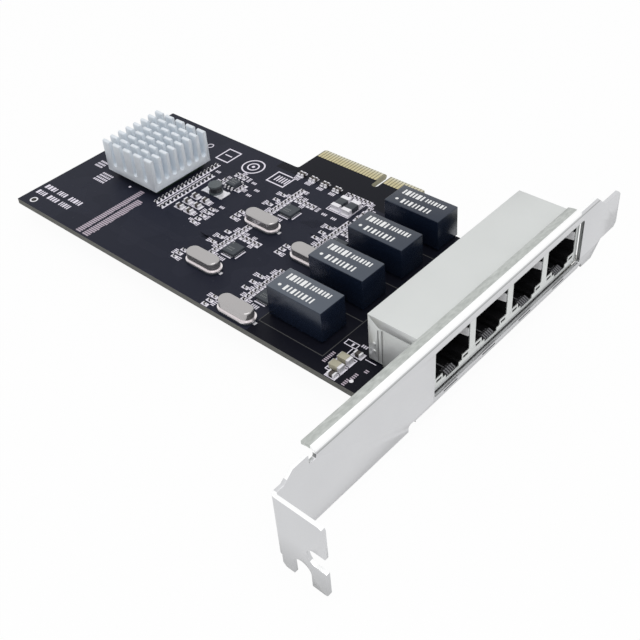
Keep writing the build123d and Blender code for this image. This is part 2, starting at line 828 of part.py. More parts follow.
with BuildPart() as memory_chip:
    with BuildSketch(Plane.XY.offset(board_top + 0.15)):
        with Locations(memory_place):
            Rectangle(memory_length, memory_width)
    extrude(amount=memory_height)
    chamfer(memory_chip.faces().sort_by(Axis.Z)[-1].edges(), length=0.12)
save(memory_chip, "memory_chip")

with BuildPart() as memory_chip_leads:
    lead_rows(*memory_place, memory_width, 3, 0.7, 0.9)
save(memory_chip_leads, "memory_chip_leads")


# Places of the small parts. A row is a first place, a count and a step between parts.
def row(x, y, count, step_x, step_y):
    return [(x + step * step_x, y + step * step_y) for step in range(count)]


# Small parts around one interface chip and its crystal: rows beside them and a loose cluster.
def chip_surroundings(x, y):
    beside = row(x - 2.3, y + 4.6, 11, 0, 1.3)
    outside = row(x - 5.2, y + 7.9, 3, 0, 2.6)
    ahead = row(x - 0.4, y + 13.6, 5, 1.4, 0)
    behind = row(x - 8.5, y - 2.2, 3, 0, 1.6)
    return beside + outside + behind, ahead


across_places = row(heatsink_near + 0.022 * chip_gap, heatsink_y - 11.0, 17, 0, 1.4)
across_places += row(heatsink_near + 0.11 * chip_gap, heatsink_y - 11.6, 14, 0, 1.4)
across_places += row(heatsink_near + 0.5 * chip_gap, heatsink_y - 11.3, 5, 0, 1.7)
across_places += row(memory_place[0] - 3.7, memory_place[1] - 0.9, 2, 0, 1.4)
across_places += row(memory_place[0] + 2.7, memory_place[1] - 1.3, 3, 0, 1.3)
along_places = row(memory_place[0] - 2.9, memory_place[1] + 4.3, 3, 1.5, 0)
for x, y in crystal_places:
    across, along = chip_surroundings(x, y)
    across_places += across
    along_places += along
along_places += row(short_x - 14.0, edge_y - 2.0, 5, 1.5, 0)
along_places += row(short_x - 6.4, edge_y - 4.4, 3, 0, -2.4)
coupling_places = [(long_x + 2.9 + group * 4.25 + 1.2 * step, edge_y - 2.2) for group in range(4)
                   for step in range(2)]
bulk_places = row(jack_back - 3.6, low_y + 3.4, 2, 0, 2.8)
filter_places = [(jack_back - 3.0, low_y + 1.2), (jack_back - 2.5, low_y + 9.3)]
filter_places += row(heatsink_near + 0.245 * chip_gap, heatsink_y - 8.7, 3, 0, 2.9)
filter_places += row(heatsink_near + 0.365 * chip_gap, heatsink_y - 8.7, 3, 0, 2.9)
supply_places = row(short_x - 13.7, edge_y - 6.7, 2, 3.5, 0)


# Ceramic bodies of chip parts at the given places. turned parts lie along Y, the others along X.
def chip_bodies(places, length, width, height, turned=False):
    with BuildSketch(Plane.XY.offset(board_top)) as bodies:
        with Locations(*places):
            Rectangle(0.52 * length, 0.94 * width, rotation=90 if turned else 0)
    extrude(bodies.sketch, amount=0.96 * height)


# Metal end caps of the same parts.
def chip_ends(places, length, width, height, turned=False):
    offsets = (0, 0.76 * length, 1, 2) if turned else (0.76 * length, 0, 2, 1)
    with BuildSketch(Plane.XY.offset(board_top)) as ends:
        with Locations(*places):
            with GridLocations(*offsets):
                Rectangle(0.24 * length, width, rotation=90 if turned else 0)
    extrude(ends.sketch, amount=height)


with BuildPart() as small_part_bodies:
    chip_bodies(across_places, small_length, small_width, small_height)
    chip_bodies(along_places, small_length, small_width, small_height, turned=True)
save(small_part_bodies, "small_part_bodies")

with BuildPart() as small_part_ends:
    chip_ends(across_places, small_length, small_width, small_height)
    chip_ends(along_places, small_length, small_width, small_height, turned=True)
save(small_part_ends, "small_part_ends")

with BuildPart() as coupling_capacitors:
    chip_bodies(coupling_places, *coupling_size, turned=True)
save(coupling_capacitors, "coupling_capacitors")

with BuildPart() as coupling_capacitor_ends:
    chip_ends(coupling_places, *coupling_size, turned=True)
save(coupling_capacitor_ends, "coupling_capacitor_ends")

with BuildPart() as bulk_capacitors:
    chip_bodies(bulk_places, *bulk_size)
save(bulk_capacitors, "bulk_capacitors")

with BuildPart() as bulk_capacitor_ends:
    chip_ends(bulk_places, *bulk_size)
save(bulk_capacitor_ends, "bulk_capacitor_ends")

with BuildPart() as filter_capacitors:
    chip_bodies(filter_places, *filter_size)
save(filter_capacitors, "filter_capacitors")

with BuildPart() as filter_capacitor_ends:
    chip_ends(filter_places, *filter_size)
save(filter_capacitor_ends, "filter_capacitor_ends")

with BuildPart() as supply_parts:
    chip_bodies(supply_places, *supply_size, turned=True)
save(supply_parts, "supply_parts")

with BuildPart() as supply_part_ends:
    chip_ends(supply_places, *supply_size, turned=True)
save(supply_part_ends, "supply_part_ends")
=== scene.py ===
import math
import random

import bmesh
import bpy
from mathutils import Euler, Matrix, Vector


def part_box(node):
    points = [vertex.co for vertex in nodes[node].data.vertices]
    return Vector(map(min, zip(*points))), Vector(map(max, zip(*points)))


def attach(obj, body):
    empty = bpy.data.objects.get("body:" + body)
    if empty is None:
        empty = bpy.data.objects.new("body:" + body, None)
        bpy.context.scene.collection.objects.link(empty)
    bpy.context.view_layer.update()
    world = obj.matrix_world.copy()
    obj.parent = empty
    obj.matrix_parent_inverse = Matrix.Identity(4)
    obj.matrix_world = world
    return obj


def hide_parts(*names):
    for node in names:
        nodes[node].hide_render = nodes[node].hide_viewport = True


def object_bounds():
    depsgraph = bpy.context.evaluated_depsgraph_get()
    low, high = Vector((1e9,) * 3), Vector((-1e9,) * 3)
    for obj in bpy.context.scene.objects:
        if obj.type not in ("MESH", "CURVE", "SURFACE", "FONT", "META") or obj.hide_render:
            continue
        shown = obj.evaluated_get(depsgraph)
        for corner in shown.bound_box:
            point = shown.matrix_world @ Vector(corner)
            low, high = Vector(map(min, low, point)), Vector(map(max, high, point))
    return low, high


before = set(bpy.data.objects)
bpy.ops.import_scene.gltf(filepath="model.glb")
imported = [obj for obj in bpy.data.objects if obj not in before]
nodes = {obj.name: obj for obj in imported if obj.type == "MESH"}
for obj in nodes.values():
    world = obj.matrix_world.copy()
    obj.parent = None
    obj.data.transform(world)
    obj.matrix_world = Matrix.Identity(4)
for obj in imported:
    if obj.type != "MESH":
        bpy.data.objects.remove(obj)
cadLow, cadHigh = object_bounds()
scene = bpy.context.scene
mm = 0.001
print("frame:", len(nodes), "nodes")


# A socket in a node tree. Sums, products and comparisons of values add Math nodes, node() any other node.
class Value:
    def __init__(self, tree, socket=None):
        self.tree = tree
        self.socket = socket

    def node(self, kind, settings=None, inputs=None, out=0):
        made = self.tree.nodes.new("ShaderNode" + kind)
        for name, value in (settings or {}).items():
            setattr(made, name, value)
        for key, value in (inputs or {}).items():
            if isinstance(value, Value):
                self.tree.links.new(value.socket, made.inputs[key])
            else:
                made.inputs[key].default_value = value
        return Value(self.tree, made.outputs[out] if made.outputs else None)

    def math(self, operation, first, second=0.0):
        return self.node("Math", {"operation": operation}, {0: first, 1: second})

    def __add__(self, other):
        return self.math("ADD", self, other)

    def __sub__(self, other):
        return self.math("SUBTRACT", self, other)

    def __rsub__(self, other):
        return self.math("SUBTRACT", other, self)

    def __mul__(self, other):
        return self.math("MULTIPLY", self, other)

    def __gt__(self, other):
        return self.math("GREATER_THAN", self, other)

    def __lt__(self, other):
        return self.math("LESS_THAN", self, other)

    def __abs__(self):
        return self.math("ABSOLUTE", self)

    __rmul__ = __mul__

    # this value, held between 0 and 1, is the share of the second colour
    def between(self, first, second):
        return self.node("Mix", {"data_type": "RGBA"}, {0: self, 6: colour(first), 7: colour(second)}, out=2)

    # fine noise on the object, with features about size millimetres across, stretched along the axes
    def noise(self, size, stretch=(1, 1, 1), detail=2.0):
        place = self.node("TexCoord", out="Object")
        place = self.node("VectorMath", {"operation": "MULTIPLY"}, {0: place, 1: [1 / s for s in stretch]})
        return self.node("TexNoise", inputs={"Vector": place, "Scale": 1 / (size * mm), "Detail": detail})

    def bump(self, height, depth):
        return self.node("Bump", inputs={"Height": height, "Distance": depth * mm})

    # x, y or z of the place on the object, in millimetres
    def along(self, axis):
        place = self.node("TexCoord", out="Object")
        return self.node("SeparateXYZ", inputs={0: place}, out=axis) * (1 / mm)

    # x, y or z of the surface's direction
    def facing(self, axis):
        return self.node("SeparateXYZ", inputs={0: self.node("NewGeometry", out="Normal")}, out=axis)


def colour(value):
    return value if isinstance(value, Value) else (*value, 1.0)[:4]


def shaded(value, share):
    return tuple(part * share for part in value)


# Makes a material from what build() gives for the shader's sockets.
def makeFinish(name, build, look):
    material = bpy.data.materials.new(name)
    material.use_nodes = True
    tree = material.node_tree
    shader = tree.nodes["Principled BSDF"]
    for socket, value in build(Value(tree), look).items():
        if isinstance(value, Value):
            tree.links.new(value.socket, shader.inputs[socket])
        else:
            shader.inputs[socket].default_value = colour(value) if isinstance(value, tuple) else value
    material.diffuse_color = (*look["colour"], 1.0)
    return material


# Sheet or block of metal: faint cloudy colour, and a satin grain along one axis that is also in relief.
def metalFinish(start, look):
    cloud = start.noise(look["cloudSize"])
    grain = start.noise(look["grainSize"], look["stretch"], 3.0)
    dark = shaded(look["colour"], 1 - look["cloud"])
    return {
        "Base Color": cloud.between(look["colour"], dark),
        "Metallic": look["metallic"],
        "Roughness": grain * look["roughVary"] + (look["rough"] - look["roughVary"] / 2),
        "Normal": start.bump(grain, look["grainDepth"]),
    }


# Plated sheet: mottled on the flange's lip with painted shade there, painted highlight on the flange and on
# the tab's fold and top, dull at cut edges, painted shade toward the tab's end, on a thin line at the upper
# bend and below the ports.
def bracketFinish(start, look):
    sockets = metalFinish(start, look)
    x, y, z = [start.along(axis) for axis in "XYZ"]
    faceX, faceY, faceZ = [start.facing(axis) for axis in "XYZ"]
    flange = (z > look["flangeFrom"]) * (x < look["flangeTo"])
    lip = flange * (x < look["lipTo"])
    mottle = start.noise(look["mottleSize"], look["mottleStretch"], 4.0)
    crease = (z > look["creaseLow"]) * (z < look["creaseHigh"])
    crease = crease * (x > look["creaseX"]) * (y > look["creaseFrom"])
    tab = y < look["tabTo"]
    fold = tab * (x < look["foldTo"]) * (faceX > look["foldFacing"])
    tabTop = tab * (faceZ > look["upFacing"])
    # painted shade: the tab's faces that do not face up darken toward its lower end
    worn = tab * (faceZ < look["upFacing"]) * ((look["wornFrom"] - z) * look["wornShare"])
    cut = (faceY < look["cutFacing"]) * (y > look["cutFrom"]) * (z < look["flangeFrom"])
    # painted shade on the face below the ports
    below = (z < look["belowPorts"]) * (y > look["portsFrom"])
    lowBend = (z < look["lowBend"]) * (y > look["lowBendFrom"])
    sockets["Metallic"] = (1 - lowBend) * look["metallic"]
    tint = below.between(sockets["Base Color"], look["below"])
    # painted highlight: the flange, the tab's fold and the tab's up-facing top take the near-white bend
    # colour
    tint = (flange + fold + tabTop).between(tint, look["bend"])
    # painted shade toward the tab's lower end
    tint = worn.between(tint, look["cut"])
    # the flange's lip: a mottled pattern, darkened with painted shade
    tint = lip.between(tint, mottle.between(look["lipDark"], look["lipLight"]))
    # painted shade on a thin line along the upper bend
    tint = crease.between(tint, look["crease"])
    sockets["Base Color"] = cut.between(tint, look["cut"])
    return sockets


# Crystal's can: painted highlight on the flange at its foot.
def canFinish(start, look):
    sockets = metalFinish(start, look)
    rim = start.along("Z") < look["rimTop"]
    sockets["Base Color"] = rim.between(sockets["Base Color"], look["rim"])
    return sockets


# Moulded shell with painted sheen on its up-facing top, stronger towards the low end of the card.
def shellFinish(start, look):
    sockets = mouldedFinish(start, look)
    # painted sheen: up-facing faces are lightened, more towards the card's low end
    up = start.facing("Z") > look["upFacing"]
    dust = (look["dustFrom"] - start.along("Y")) * (1 / look["dustOver"]) * up
    sockets["Base Color"] = dust.between(sockets["Base Color"], look["dust"])
    return sockets


# Moulded or ceramic body: even colour with a fine speckle and a matte skin.
def mouldedFinish(start, look):
    speckle = start.noise(look["speckleSize"], detail=3.0)
    skin = start.noise(look["skinSize"])
    light = shaded(look["colour"], 1 + look["speckle"])
    dark = shaded(look["colour"], 1 - look["speckle"])
    return {
        "Base Color": speckle.between(dark, light),
        "Roughness": skin * look["roughVary"] + (look["rough"] - look["roughVary"] / 2),
        "Normal": start.bump(skin, look["skinDepth"]),
        "Specular IOR Level": look["specular"],
        "Specular Tint": look["sheen"],
    }


# Board: solder mask over copper on the two faces, darker where there is no copper, bare between the
# contacts, and layered glass fibre on the cut edges, pale round the tongue.
def boardFinish(start, look):
    x, y = start.along("X"), start.along("Y")
    flat = abs(start.facing("Z")) > look["flatFacing"]
    pour = start.noise(look["pourSize"], detail=1.0) > 0.5
    weave = start.noise(look["weaveSize"], detail=2.0)
    mask = (pour * look["pourShare"] + weave * look["weaveShare"]).between(look["colour"], look["overCopper"])
    bare = (y > look["bareFrom"]) * (x > look["bareX"]) + (x > look["isolatedX"])
    mask = bare.between(mask, look["bare"])
    mask = (y > look["laminateFrom"]).between(mask, look["laminate"])
    layers = start.noise(look["layerSize"], look["layerStretch"], 2.0)
    edge = layers.between(look["edge"], look["edgeLayer"])
    edge = (y > look["tongueFrom"]).between(edge, look["tongueEdge"])
    rough = flat * (look["rough"] - look["edgeRough"]) + look["edgeRough"]
    return {
        "Base Color": flat.between(edge, mask),
        "Roughness": rough + weave * look["roughVary"],
        "Normal": start.bump(weave, look["weaveDepth"]),
        "Specular IOR Level": look["specular"],
    }


# Gold plating, worn to a greyer tone towards the tip of the tongue.
def goldFinish(start, look):
    worn = (start.along("Y") - look["wornFrom"]) * (1 / look["wornOver"])
    cloud = start.noise(look["cloudSize"])
    plated = cloud.between(look["colour"], look["colourDeep"])
    return {
        "Base Color": worn.between(plated, look["worn"]),
        "Metallic": 1.0,
        "Roughness": cloud * look["roughVary"] + look["rough"],
    }


metalLook = {"cloudSize": 9.0, "cloud": 0.06, "grainSize": 0.35, "stretch": (1, 1, 1), "grainDepth": 0.004,
             "rough": 0.3, "roughVary": 0.1, "metallic": 1.0}
mouldedLook = {"speckleSize": 0.25, "speckle": 0.12, "skinSize": 0.09, "skinDepth": 0.01, "rough": 0.5,
               "roughVary": 0.12, "specular": 0.5, "sheen": (1, 1, 1)}
boardLook = {"colour": (0.0155, 0.0175, 0.03), "overCopper": (0.0195, 0.0215, 0.0355), "pourSize": 16.0,
             "pourShare": 0.6, "weaveShare": 0.4, "weaveSize": 0.5, "weaveDepth": 0.006, "flatFacing": 0.9,
             "bare": (0.006, 0.0065, 0.0115), "bareFrom": 30.5, "bareX": -26.0, "isolatedX": 15.8,
             "laminate": (0.3, 0.28, 0.2), "laminateFrom": 41.4, "edge": (0.2, 0.2, 0.185),
             "edgeLayer": (0.1, 0.1, 0.095), "layerSize": 0.16, "layerStretch": (9, 9, 1),
             "tongueFrom": 37.0, "tongueEdge": (0.46, 0.44, 0.33), "rough": 0.36, "edgeRough": 0.62,
             "roughVary": 0.08, "specular": 0.07}

# Finishes: what builds them, the look they start from, and what each one changes in it
finishGroups = [
    (boardFinish, boardLook, {
        "board": {},
        "tracks": {"colour": (0.023, 0.025, 0.04), "overCopper": (0.0245, 0.0268, 0.0425),
            "bare": (0.0085, 0.009, 0.0145), "bareFrom": 99.0, "edge": (0.009, 0.009, 0.014),
            "edgeLayer": (0.009, 0.009, 0.014), "tongueFrom": 99.0}}),
    (mouldedFinish, mouldedLook, {
        "print": {"colour": (0.87, 0.83, 0.93), "speckle": 0.08, "rough": 0.6},
        "printDim": {"colour": (0.5, 0.43, 0.5), "speckle": 0.12, "rough": 0.6},
        "printWhite": {"colour": (0.9, 0.91, 0.91), "speckle": 0.04, "rough": 0.55},
        "printGrey": {"colour": (0.055, 0.055, 0.055), "speckle": 0.15, "rough": 0.6},
        "chipMark": {"colour": (0.2, 0.21, 0.215), "rough": 0.6},
        "jack_plastic": {"colour": (0.004, 0.004, 0.0048), "specular": 0.25},
        "chip_substrate": {"colour": (0.012, 0.03, 0.018), "rough": 0.45},
        "chip_black": {"colour": (0.031, 0.039, 0.05)},
        "pad_grey": {"colour": (0.3, 0.31, 0.33), "rough": 0.75},
        "ferrite": {"colour": (0.085, 0.1, 0.108), "rough": 0.45, "speckle": 0.3},
        "copper": {"colour": (0.02, 0.022, 0.026), "rough": 0.35},
        "ceramic_brown": {"colour": (0.055, 0.045, 0.04), "rough": 0.45},
        "ceramic_cream": {"colour": (0.45, 0.425, 0.32), "rough": 0.45},
        "resistor_black": {"colour": (0.012, 0.012, 0.014), "rough": 0.35}}),
    (goldFinish, {}, {
        "gold": {"colour": (0.62, 0.56, 0.35), "colourDeep": (0.54, 0.48, 0.28), "worn": (0.62, 0.6, 0.48),
            "wornFrom": 43.2, "wornOver": 1.6, "cloudSize": 2.5, "rough": 0.26, "roughVary": 0.12}}),
    (bracketFinish, metalLook, {
        "bracket_steel": {"colour": (0.66, 0.665, 0.68), "rough": 0.34, "grainSize": 0.3,
            "stretch": (1, 7, 1), "flangeFrom": 20.2, "flangeTo": 61.235, "lipTo": 59.95, "mottleSize": 0.6,
            "mottleStretch": (1, 3, 1), "lipDark": (0.3, 0.32, 0.305), "lipLight": (0.68, 0.705, 0.68),
            # bend is a painted highlight; lipDark, crease and below are painted shade, as is the tab's
            # darkening
            "bend": (0.97, 0.975, 0.975), "crease": (0.4, 0.41, 0.41), "creaseX": 60.935,
            "creaseFrom": -48.6, "creaseLow": 20.0, "creaseHigh": 20.45, "tabTo": -58.9, "foldTo": 62.35,
            "foldFacing": 0.12, "upFacing": 0.7, "wornFrom": 10.0, "wornShare": 0.05,
            "cut": (0.27, 0.275, 0.275), "cutFrom": -59.7, "cutFacing": -0.6,
            "below": (0.5676, 0.5719, 0.5848), "belowPorts": 7.0, "portsFrom": -14.0, "lowBend": 5.3,
            "lowBendFrom": -21.0}}),
    (metalFinish, metalLook, {
        "screw_steel": {"colour": (0.62, 0.62, 0.61)},
        "shield_metal": {"colour": (0.7, 0.72, 0.71), "rough": 0.36, "stretch": (1, 6, 1), "metallic": 0.6},
        "spring_metal": {"colour": (0.93, 0.93, 0.95), "rough": 0.45, "metallic": 0.15},
        # dark copy of the springs' metal: painted shade for the ribs on the ports' floors
        "spring_painted_shade": {"colour": (0.2, 0.2, 0.215), "rough": 0.5, "metallic": 0.2},
        "groove": {"colour": (0.17, 0.165, 0.17), "rough": 0.5, "metallic": 0.3},
        "tin": {"colour": (0.92, 0.91, 0.95), "cloudSize": 1.2, "cloud": 0.12, "rough": 0.34,
            "grainSize": 0.2, "grainDepth": 0.012, "metallic": 0.35},
        "heatsink_metal": {"colour": (0.81, 0.86, 0.91), "rough": 0.5, "roughVary": 0.12, "grainSize": 0.28,
            "stretch": (6, 1, 1), "grainDepth": 0.006, "metallic": 0.22}}),
    (canFinish, metalLook, {
        "crystal_nickel": {"colour": (0.45, 0.435, 0.435), "rough": 0.17, "roughVary": 0.06,
            "cloudSize": 6.0, "cloud": 0.03, "stretch": (6, 1, 1), "grainDepth": 0.002, "metallic": 0.72,
            # the rim colour is a painted highlight
            "rimTop": 8.05, "rim": (0.86, 0.82, 0.83)}}),
    (shellFinish, mouldedLook, {
        "transformer_black": {"colour": (0.0075, 0.0125, 0.027), "rough": 0.24, "speckleSize": 0.35,
            "speckle": 0.35, "skinDepth": 0.014, "specular": 0.62, "sheen": (0.8, 0.88, 1),
            # the top's lighter colour is painted sheen
            "dust": (0.085, 0.1, 0.125), "dustFrom": 24.0, "dustOver": 42.0, "upFacing": 0.8}})]
finishes = {name: makeFinish(name, build, {**base, **look}) for build, base, looks in finishGroups
            for name, look in looks.items()}
print("finishes:", len(finishes))

nodesOfSlot = {
    "board": ["circuit_board"], "gold": ["edge_contacts_top", "edge_contacts_bottom", "contact_wires"],
    "bracket_steel": ["bracket"], "screw_steel": ["bracket_screw_1", "bracket_screw_2"],
    "jack_plastic": ["jack_housing"], "shield_metal": ["jack_shield", "jack_earth_springs"],
    "heatsink_metal": ["heatsink"], "pad_grey": ["thermal_pad"], "chip_substrate": ["main_chip_substrate"],
    "chip_black": ["main_chip_cover", "crystal_bases", "memory_chip", "supply_parts"],
    "tin": ["chip_solder_balls", "crystal_terminals", "interface_chip_terminals", "choke_terminals",
            "memory_chip_leads", "supply_part_ends", "small_part_ends", "coupling_capacitor_ends",
            "bulk_capacitor_ends", "filter_capacitor_ends"],
    "ferrite": ["choke_core"], "copper": ["choke_winding"],
    "ceramic_brown": ["small_part_bodies", "coupling_capacitors"],
    "ceramic_cream": ["bulk_capacitors", "filter_capacitors"],
}
slotOfNode = {nodeName: slot for slot, nodeNames in nodesOfSlot.items() for nodeName in nodeNames}
for number in range(1, 5):
    slotOfNode[f"transformer_{number}"] = "transformer_black"
    slotOfNode[f"transformer_pins_{number}"] = "tin"
    slotOfNode[f"crystal_can_{number}"] = "crystal_nickel"
    slotOfNode[f"interface_chip_{number}"] = "chip_black"
for nodeName, node in nodes.items():
    node.data.materials.clear()
    node.data.materials.append(finishes[slotOfNode[nodeName]])


# Box of a node, as two corners in millimetres.
def boxOf(nodeName):
    low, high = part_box(nodeName)
    return low / mm, high / mm


# Angles in degrees: edges below smoothBelow are shaded smooth, and those above softenAbove are rounded.
meshLook = {"smoothBelow": 32, "softenAbove": 30, "flatBelow": 0.5, "weld": 1e-4, "sunk": 0.01}


# Boxes of a node's separate solids, as pairs of corners in millimetres.
def solidsOf(nodeName):
    bm = bmesh.new()
    bm.from_mesh(nodes[nodeName].data)
    bmesh.ops.remove_doubles(bm, verts=bm.verts, dist=meshLook["weld"] * mm)
    seen = set()
    found = []
    for first in bm.verts:
        if first in seen:
            continue
        seen.add(first)
        queue, places = [first], []
        while queue:
            vert = queue.pop()
            places.append(vert.co / mm)
            for edge in vert.link_edges:
                other = edge.other_vert(vert)
                if other not in seen:
                    seen.add(other)
                    queue.append(other)
        low = Vector([min(place[axis] for place in places) for axis in range(3)])
        high = Vector([max(place[axis] for place in places) for axis in range(3)])
        found.append((low, high))
    bm.free()
    return found


# Turns a mesh made in millimetres into a piece that rides on the card.
def makePiece(name, bm, finish, stands=()):
    bmesh.ops.recalc_face_normals(bm, faces=bm.faces)
    mesh = bpy.data.meshes.new(name)
    bm.to_mesh(mesh)
    bm.free()
    mesh.transform(Matrix.Scale(mm, 4))
    mesh.shade_smooth()
    mesh.set_sharp_from_angle(angle=math.radians(meshLook["smoothBelow"]))
    mesh.materials.append(finishes[finish])
    piece = bpy.data.objects.new(name, mesh)
    scene.collection.objects.link(piece)
    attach(piece, "root")
    if stands:
        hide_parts(*stands)


# Box between two corners, with rounded edges where edge is given.
def addBlock(bm, low, high, edge=0.0, steps=2):
    size = Vector(high) - Vector(low)
    middle = (Vector(high) + Vector(low)) / 2
    matrix = Matrix.Translation(middle) @ Matrix.Diagonal((*size, 1))
    corners = bmesh.ops.create_cube(bm, size=1, matrix=matrix)["verts"]
    if edge:
        edges = list({line for corner in corners for line in corner.link_edges})
        bmesh.ops.bevel(bm, geom=edges, offset=edge, segments=steps, profile=0.5, affect="EDGES")


# Closed skin over rings of matching points, with a face at each end unless the rings form a loop.
def addSkin(bm, rings, loop=False):
    rings = [[bm.verts.new(point) for point in ring] for ring in rings]
    for first, second in zip(rings, rings[1:] + rings[:1] if loop else rings[1:]):
        for index in range(len(first)):
            after = (index + 1) % len(first)
            bm.faces.new((first[index], second[index], second[after], first[after]))
    if not loop:
        bm.faces.new(rings[0][::-1])
        bm.faces.new(rings[-1])


# Flat shape of even thickness over an outline of (x, y) corners.
def addPlate(bm, outline, bottom, top):
    addSkin(bm, [[(x, y, z) for x, y in outline] for z in (bottom, top)])


# Line of even width through (x, y) points, with mitred corners.
def addLine(bm, points, width, bottom, top, closed=False):
    points = [Vector(point) for point in points]
    rings = []
    for index, point in enumerate(points):
        directions = []
        if index or closed:
            directions.append((point - points[index - 1]).normalized())
        if index < len(points) - 1 or closed:
            directions.append((points[(index + 1) % len(points)] - point).normalized())
        normals = [Vector((-direction.y, direction.x)) for direction in directions]
        across = sum(normals, Vector((0, 0))).normalized()
        across *= width / 2 / max(0.4, across.dot(normals[0]))
        left, right = point + across, point - across
        rings.append([(*left, top), (*right, top), (*right, bottom), (*left, bottom)])
    addSkin(bm, rings, closed)


def circlePoints(x, y, radius, sides):
    turns = [math.tau * side / sides for side in range(sides)]
    return [(x + radius * math.cos(turn), y + radius * math.sin(turn)) for turn in turns]


def boxPoints(low, high, margin=0.0):
    return [(low[0] - margin, low[1] - margin), (high[0] + margin, low[1] - margin),
            (high[0] + margin, high[1] + margin), (low[0] - margin, high[1] + margin)]


# Copy of a node's mesh with cleaned faces and softened edges, which then stands for the node.
def dressNode(nodeName, pieceName, edge):
    bm = bmesh.new()
    bm.from_mesh(nodes[nodeName].data)
    bmesh.ops.scale(bm, vec=(1 / mm,) * 3, verts=bm.verts)
    bmesh.ops.remove_doubles(bm, verts=bm.verts, dist=meshLook["weld"])
    flat = math.radians(meshLook["flatBelow"])
    bmesh.ops.dissolve_limit(bm, angle_limit=flat, verts=bm.verts, edges=bm.edges)
    sharp = [line for line in bm.edges if len(line.link_faces) == 2
             and line.calc_face_angle(0) > math.radians(meshLook["softenAbove"])]
    bmesh.ops.bevel(bm, geom=sharp, offset=edge, segments=2, profile=0.5, affect="EDGES", clamp_overlap=True)
    finish = slotOfNode[nodeName]
    makePiece(pieceName, bm, finish, (nodeName,))


boardLow, boardHigh = boxOf("circuit_board")
boardTop, boardBottom = boardHigh.z, boardLow.z
sunkTop = boardTop - meshLook["sunk"]
shellBoxes = [boxOf(f"transformer_{number}") for number in range(1, 5)]
chipBoxes = [boxOf(f"interface_chip_{number}") for number in range(1, 5)]
canBoxes = [boxOf(f"crystal_can_{number}") for number in range(1, 5)]
heatsinkHigh = boxOf("heatsink")[1]
shieldLow, shieldHigh = boxOf("jack_shield")

# Metalwork: the piece that stands for each node, and the radius of its softened edges
metalwork = {"bracket": ("bracket_sheet", 0.09), "heatsink": ("heatsink_fins", 0.07),
             "jack_shield": ("shield_shell", 0.05), "bracket_screw_1": ("screw_low", 0.06),
             "bracket_screw_2": ("screw_high", 0.06)}
for nodeName, (pieceName, edge) in metalwork.items():
    dressNode(nodeName, pieceName, edge)
print("metalwork")

# Transformers: a potted shell with drafted sides and rounded edges, on four small feet
shell = {"edge": 0.22, "steps": 3, "draft": 0.08, "foot": (0.7, 1.1), "footInset": (0.6, 0.5),
         "footEdge": 0.05, "footGap": 0.02, "footLap": 0.2}
footX, footY = shell["foot"]
insetX, insetY = shell["footInset"]
for number, (low, high) in enumerate(shellBoxes, start=1):
    bm = bmesh.new()
    addBlock(bm, low, high, shell["edge"], shell["steps"])
    middle = (low + high) / 2
    for vert in bm.verts:
        inward = shell["draft"] * (vert.co.z - low.z) / (high.z - low.z)
        for axis in (0, 1):
            vert.co[axis] -= math.copysign(inward, vert.co[axis] - middle[axis])
    bottom, top = boardTop + shell["footGap"], low.z + shell["footLap"]
    for x in (low.x + insetX, high.x - insetX - footX):
        for y in (low.y + insetY, high.y - insetY - footY):
            addBlock(bm, (x, y, bottom), (x + footX, y + footY, top), shell["footEdge"], 1)
    makePiece(f"transformer_shell_{number}", bm, "transformer_black",
              (f"transformer_{number}",))

# Plain printed bars and a pin-one dot on each transformer: each row's widths, gap and height
bar = {"bold": ([0.5, 0.95, 0.5, 0.5, 0.95, 0.5], 0.42, 2.0),
       "fine": ([0.36, 0.5, 0.36, 0.62, 0.36, 0.62, 0.36], 0.42, 1.45),
       "lower": ([0.72, 0.42, 0.72, 0.42, 0.42, 0.72, 0.42, 0.42], 0.588, 1.8),
       "boldAt": (1.9, -2.5), "fineGap": 0.4, "lowerAt": (3.9, 2.2), "dotX": 2.4, "dot": 0.42,
       "thick": 0.02}


def addBars(bm, x, y, widths, gap, height, top):
    for width in widths:
        outline = boxPoints((x, y - height / 2), (x + width, y + height / 2))
        addPlate(bm, outline, top - bar["thick"], top + bar["thick"])
        x += width + gap
    return x


bm = bmesh.new()
for low, high in shellBoxes:
    top, (x, y), (lowerX, lowerY) = high.z, bar["boldAt"], bar["lowerAt"]
    x = addBars(bm, low.x + x, high.y + y, *bar["bold"], top)
    addBars(bm, x + bar["fineGap"], high.y + y, *bar["fine"], top)
    addBars(bm, low.x + lowerX, low.y + lowerY, *bar["lower"], top)
    dot = circlePoints(low.x + bar["dotX"], low.y + lowerY, bar["dot"], 20)
    addPlate(bm, dot, top - bar["thick"], top + bar["thick"])
makePiece("transformer_marks", bm, "printWhite")
print("transformers")

# Chip parts: rounded bodies and end caps, each end on a pad with a hollow fillet of solder
partLook = {"bodyEdge": 0.06, "capEdge": 0.07, "padReach": 0.3, "padSide": 0.08, "padThick": 0.03,
            "filletSteps": 4, "filletReach": 0.26, "filletRise": 0.8, "filletInset": 0.03,
            "filletLap": 0.04, "filletLift": 0.01}
# How far a skin runs on over one end of its body, stands above it, and is narrower, as its caps are.
plainSkin = {"lap": 0.0, "rise": 0.0, "inset": 0.0, "capInset": 0.0}
bulkSkin = {"lap": 0.66, "rise": 0.08, "inset": 0.27, "capInset": 0.36}


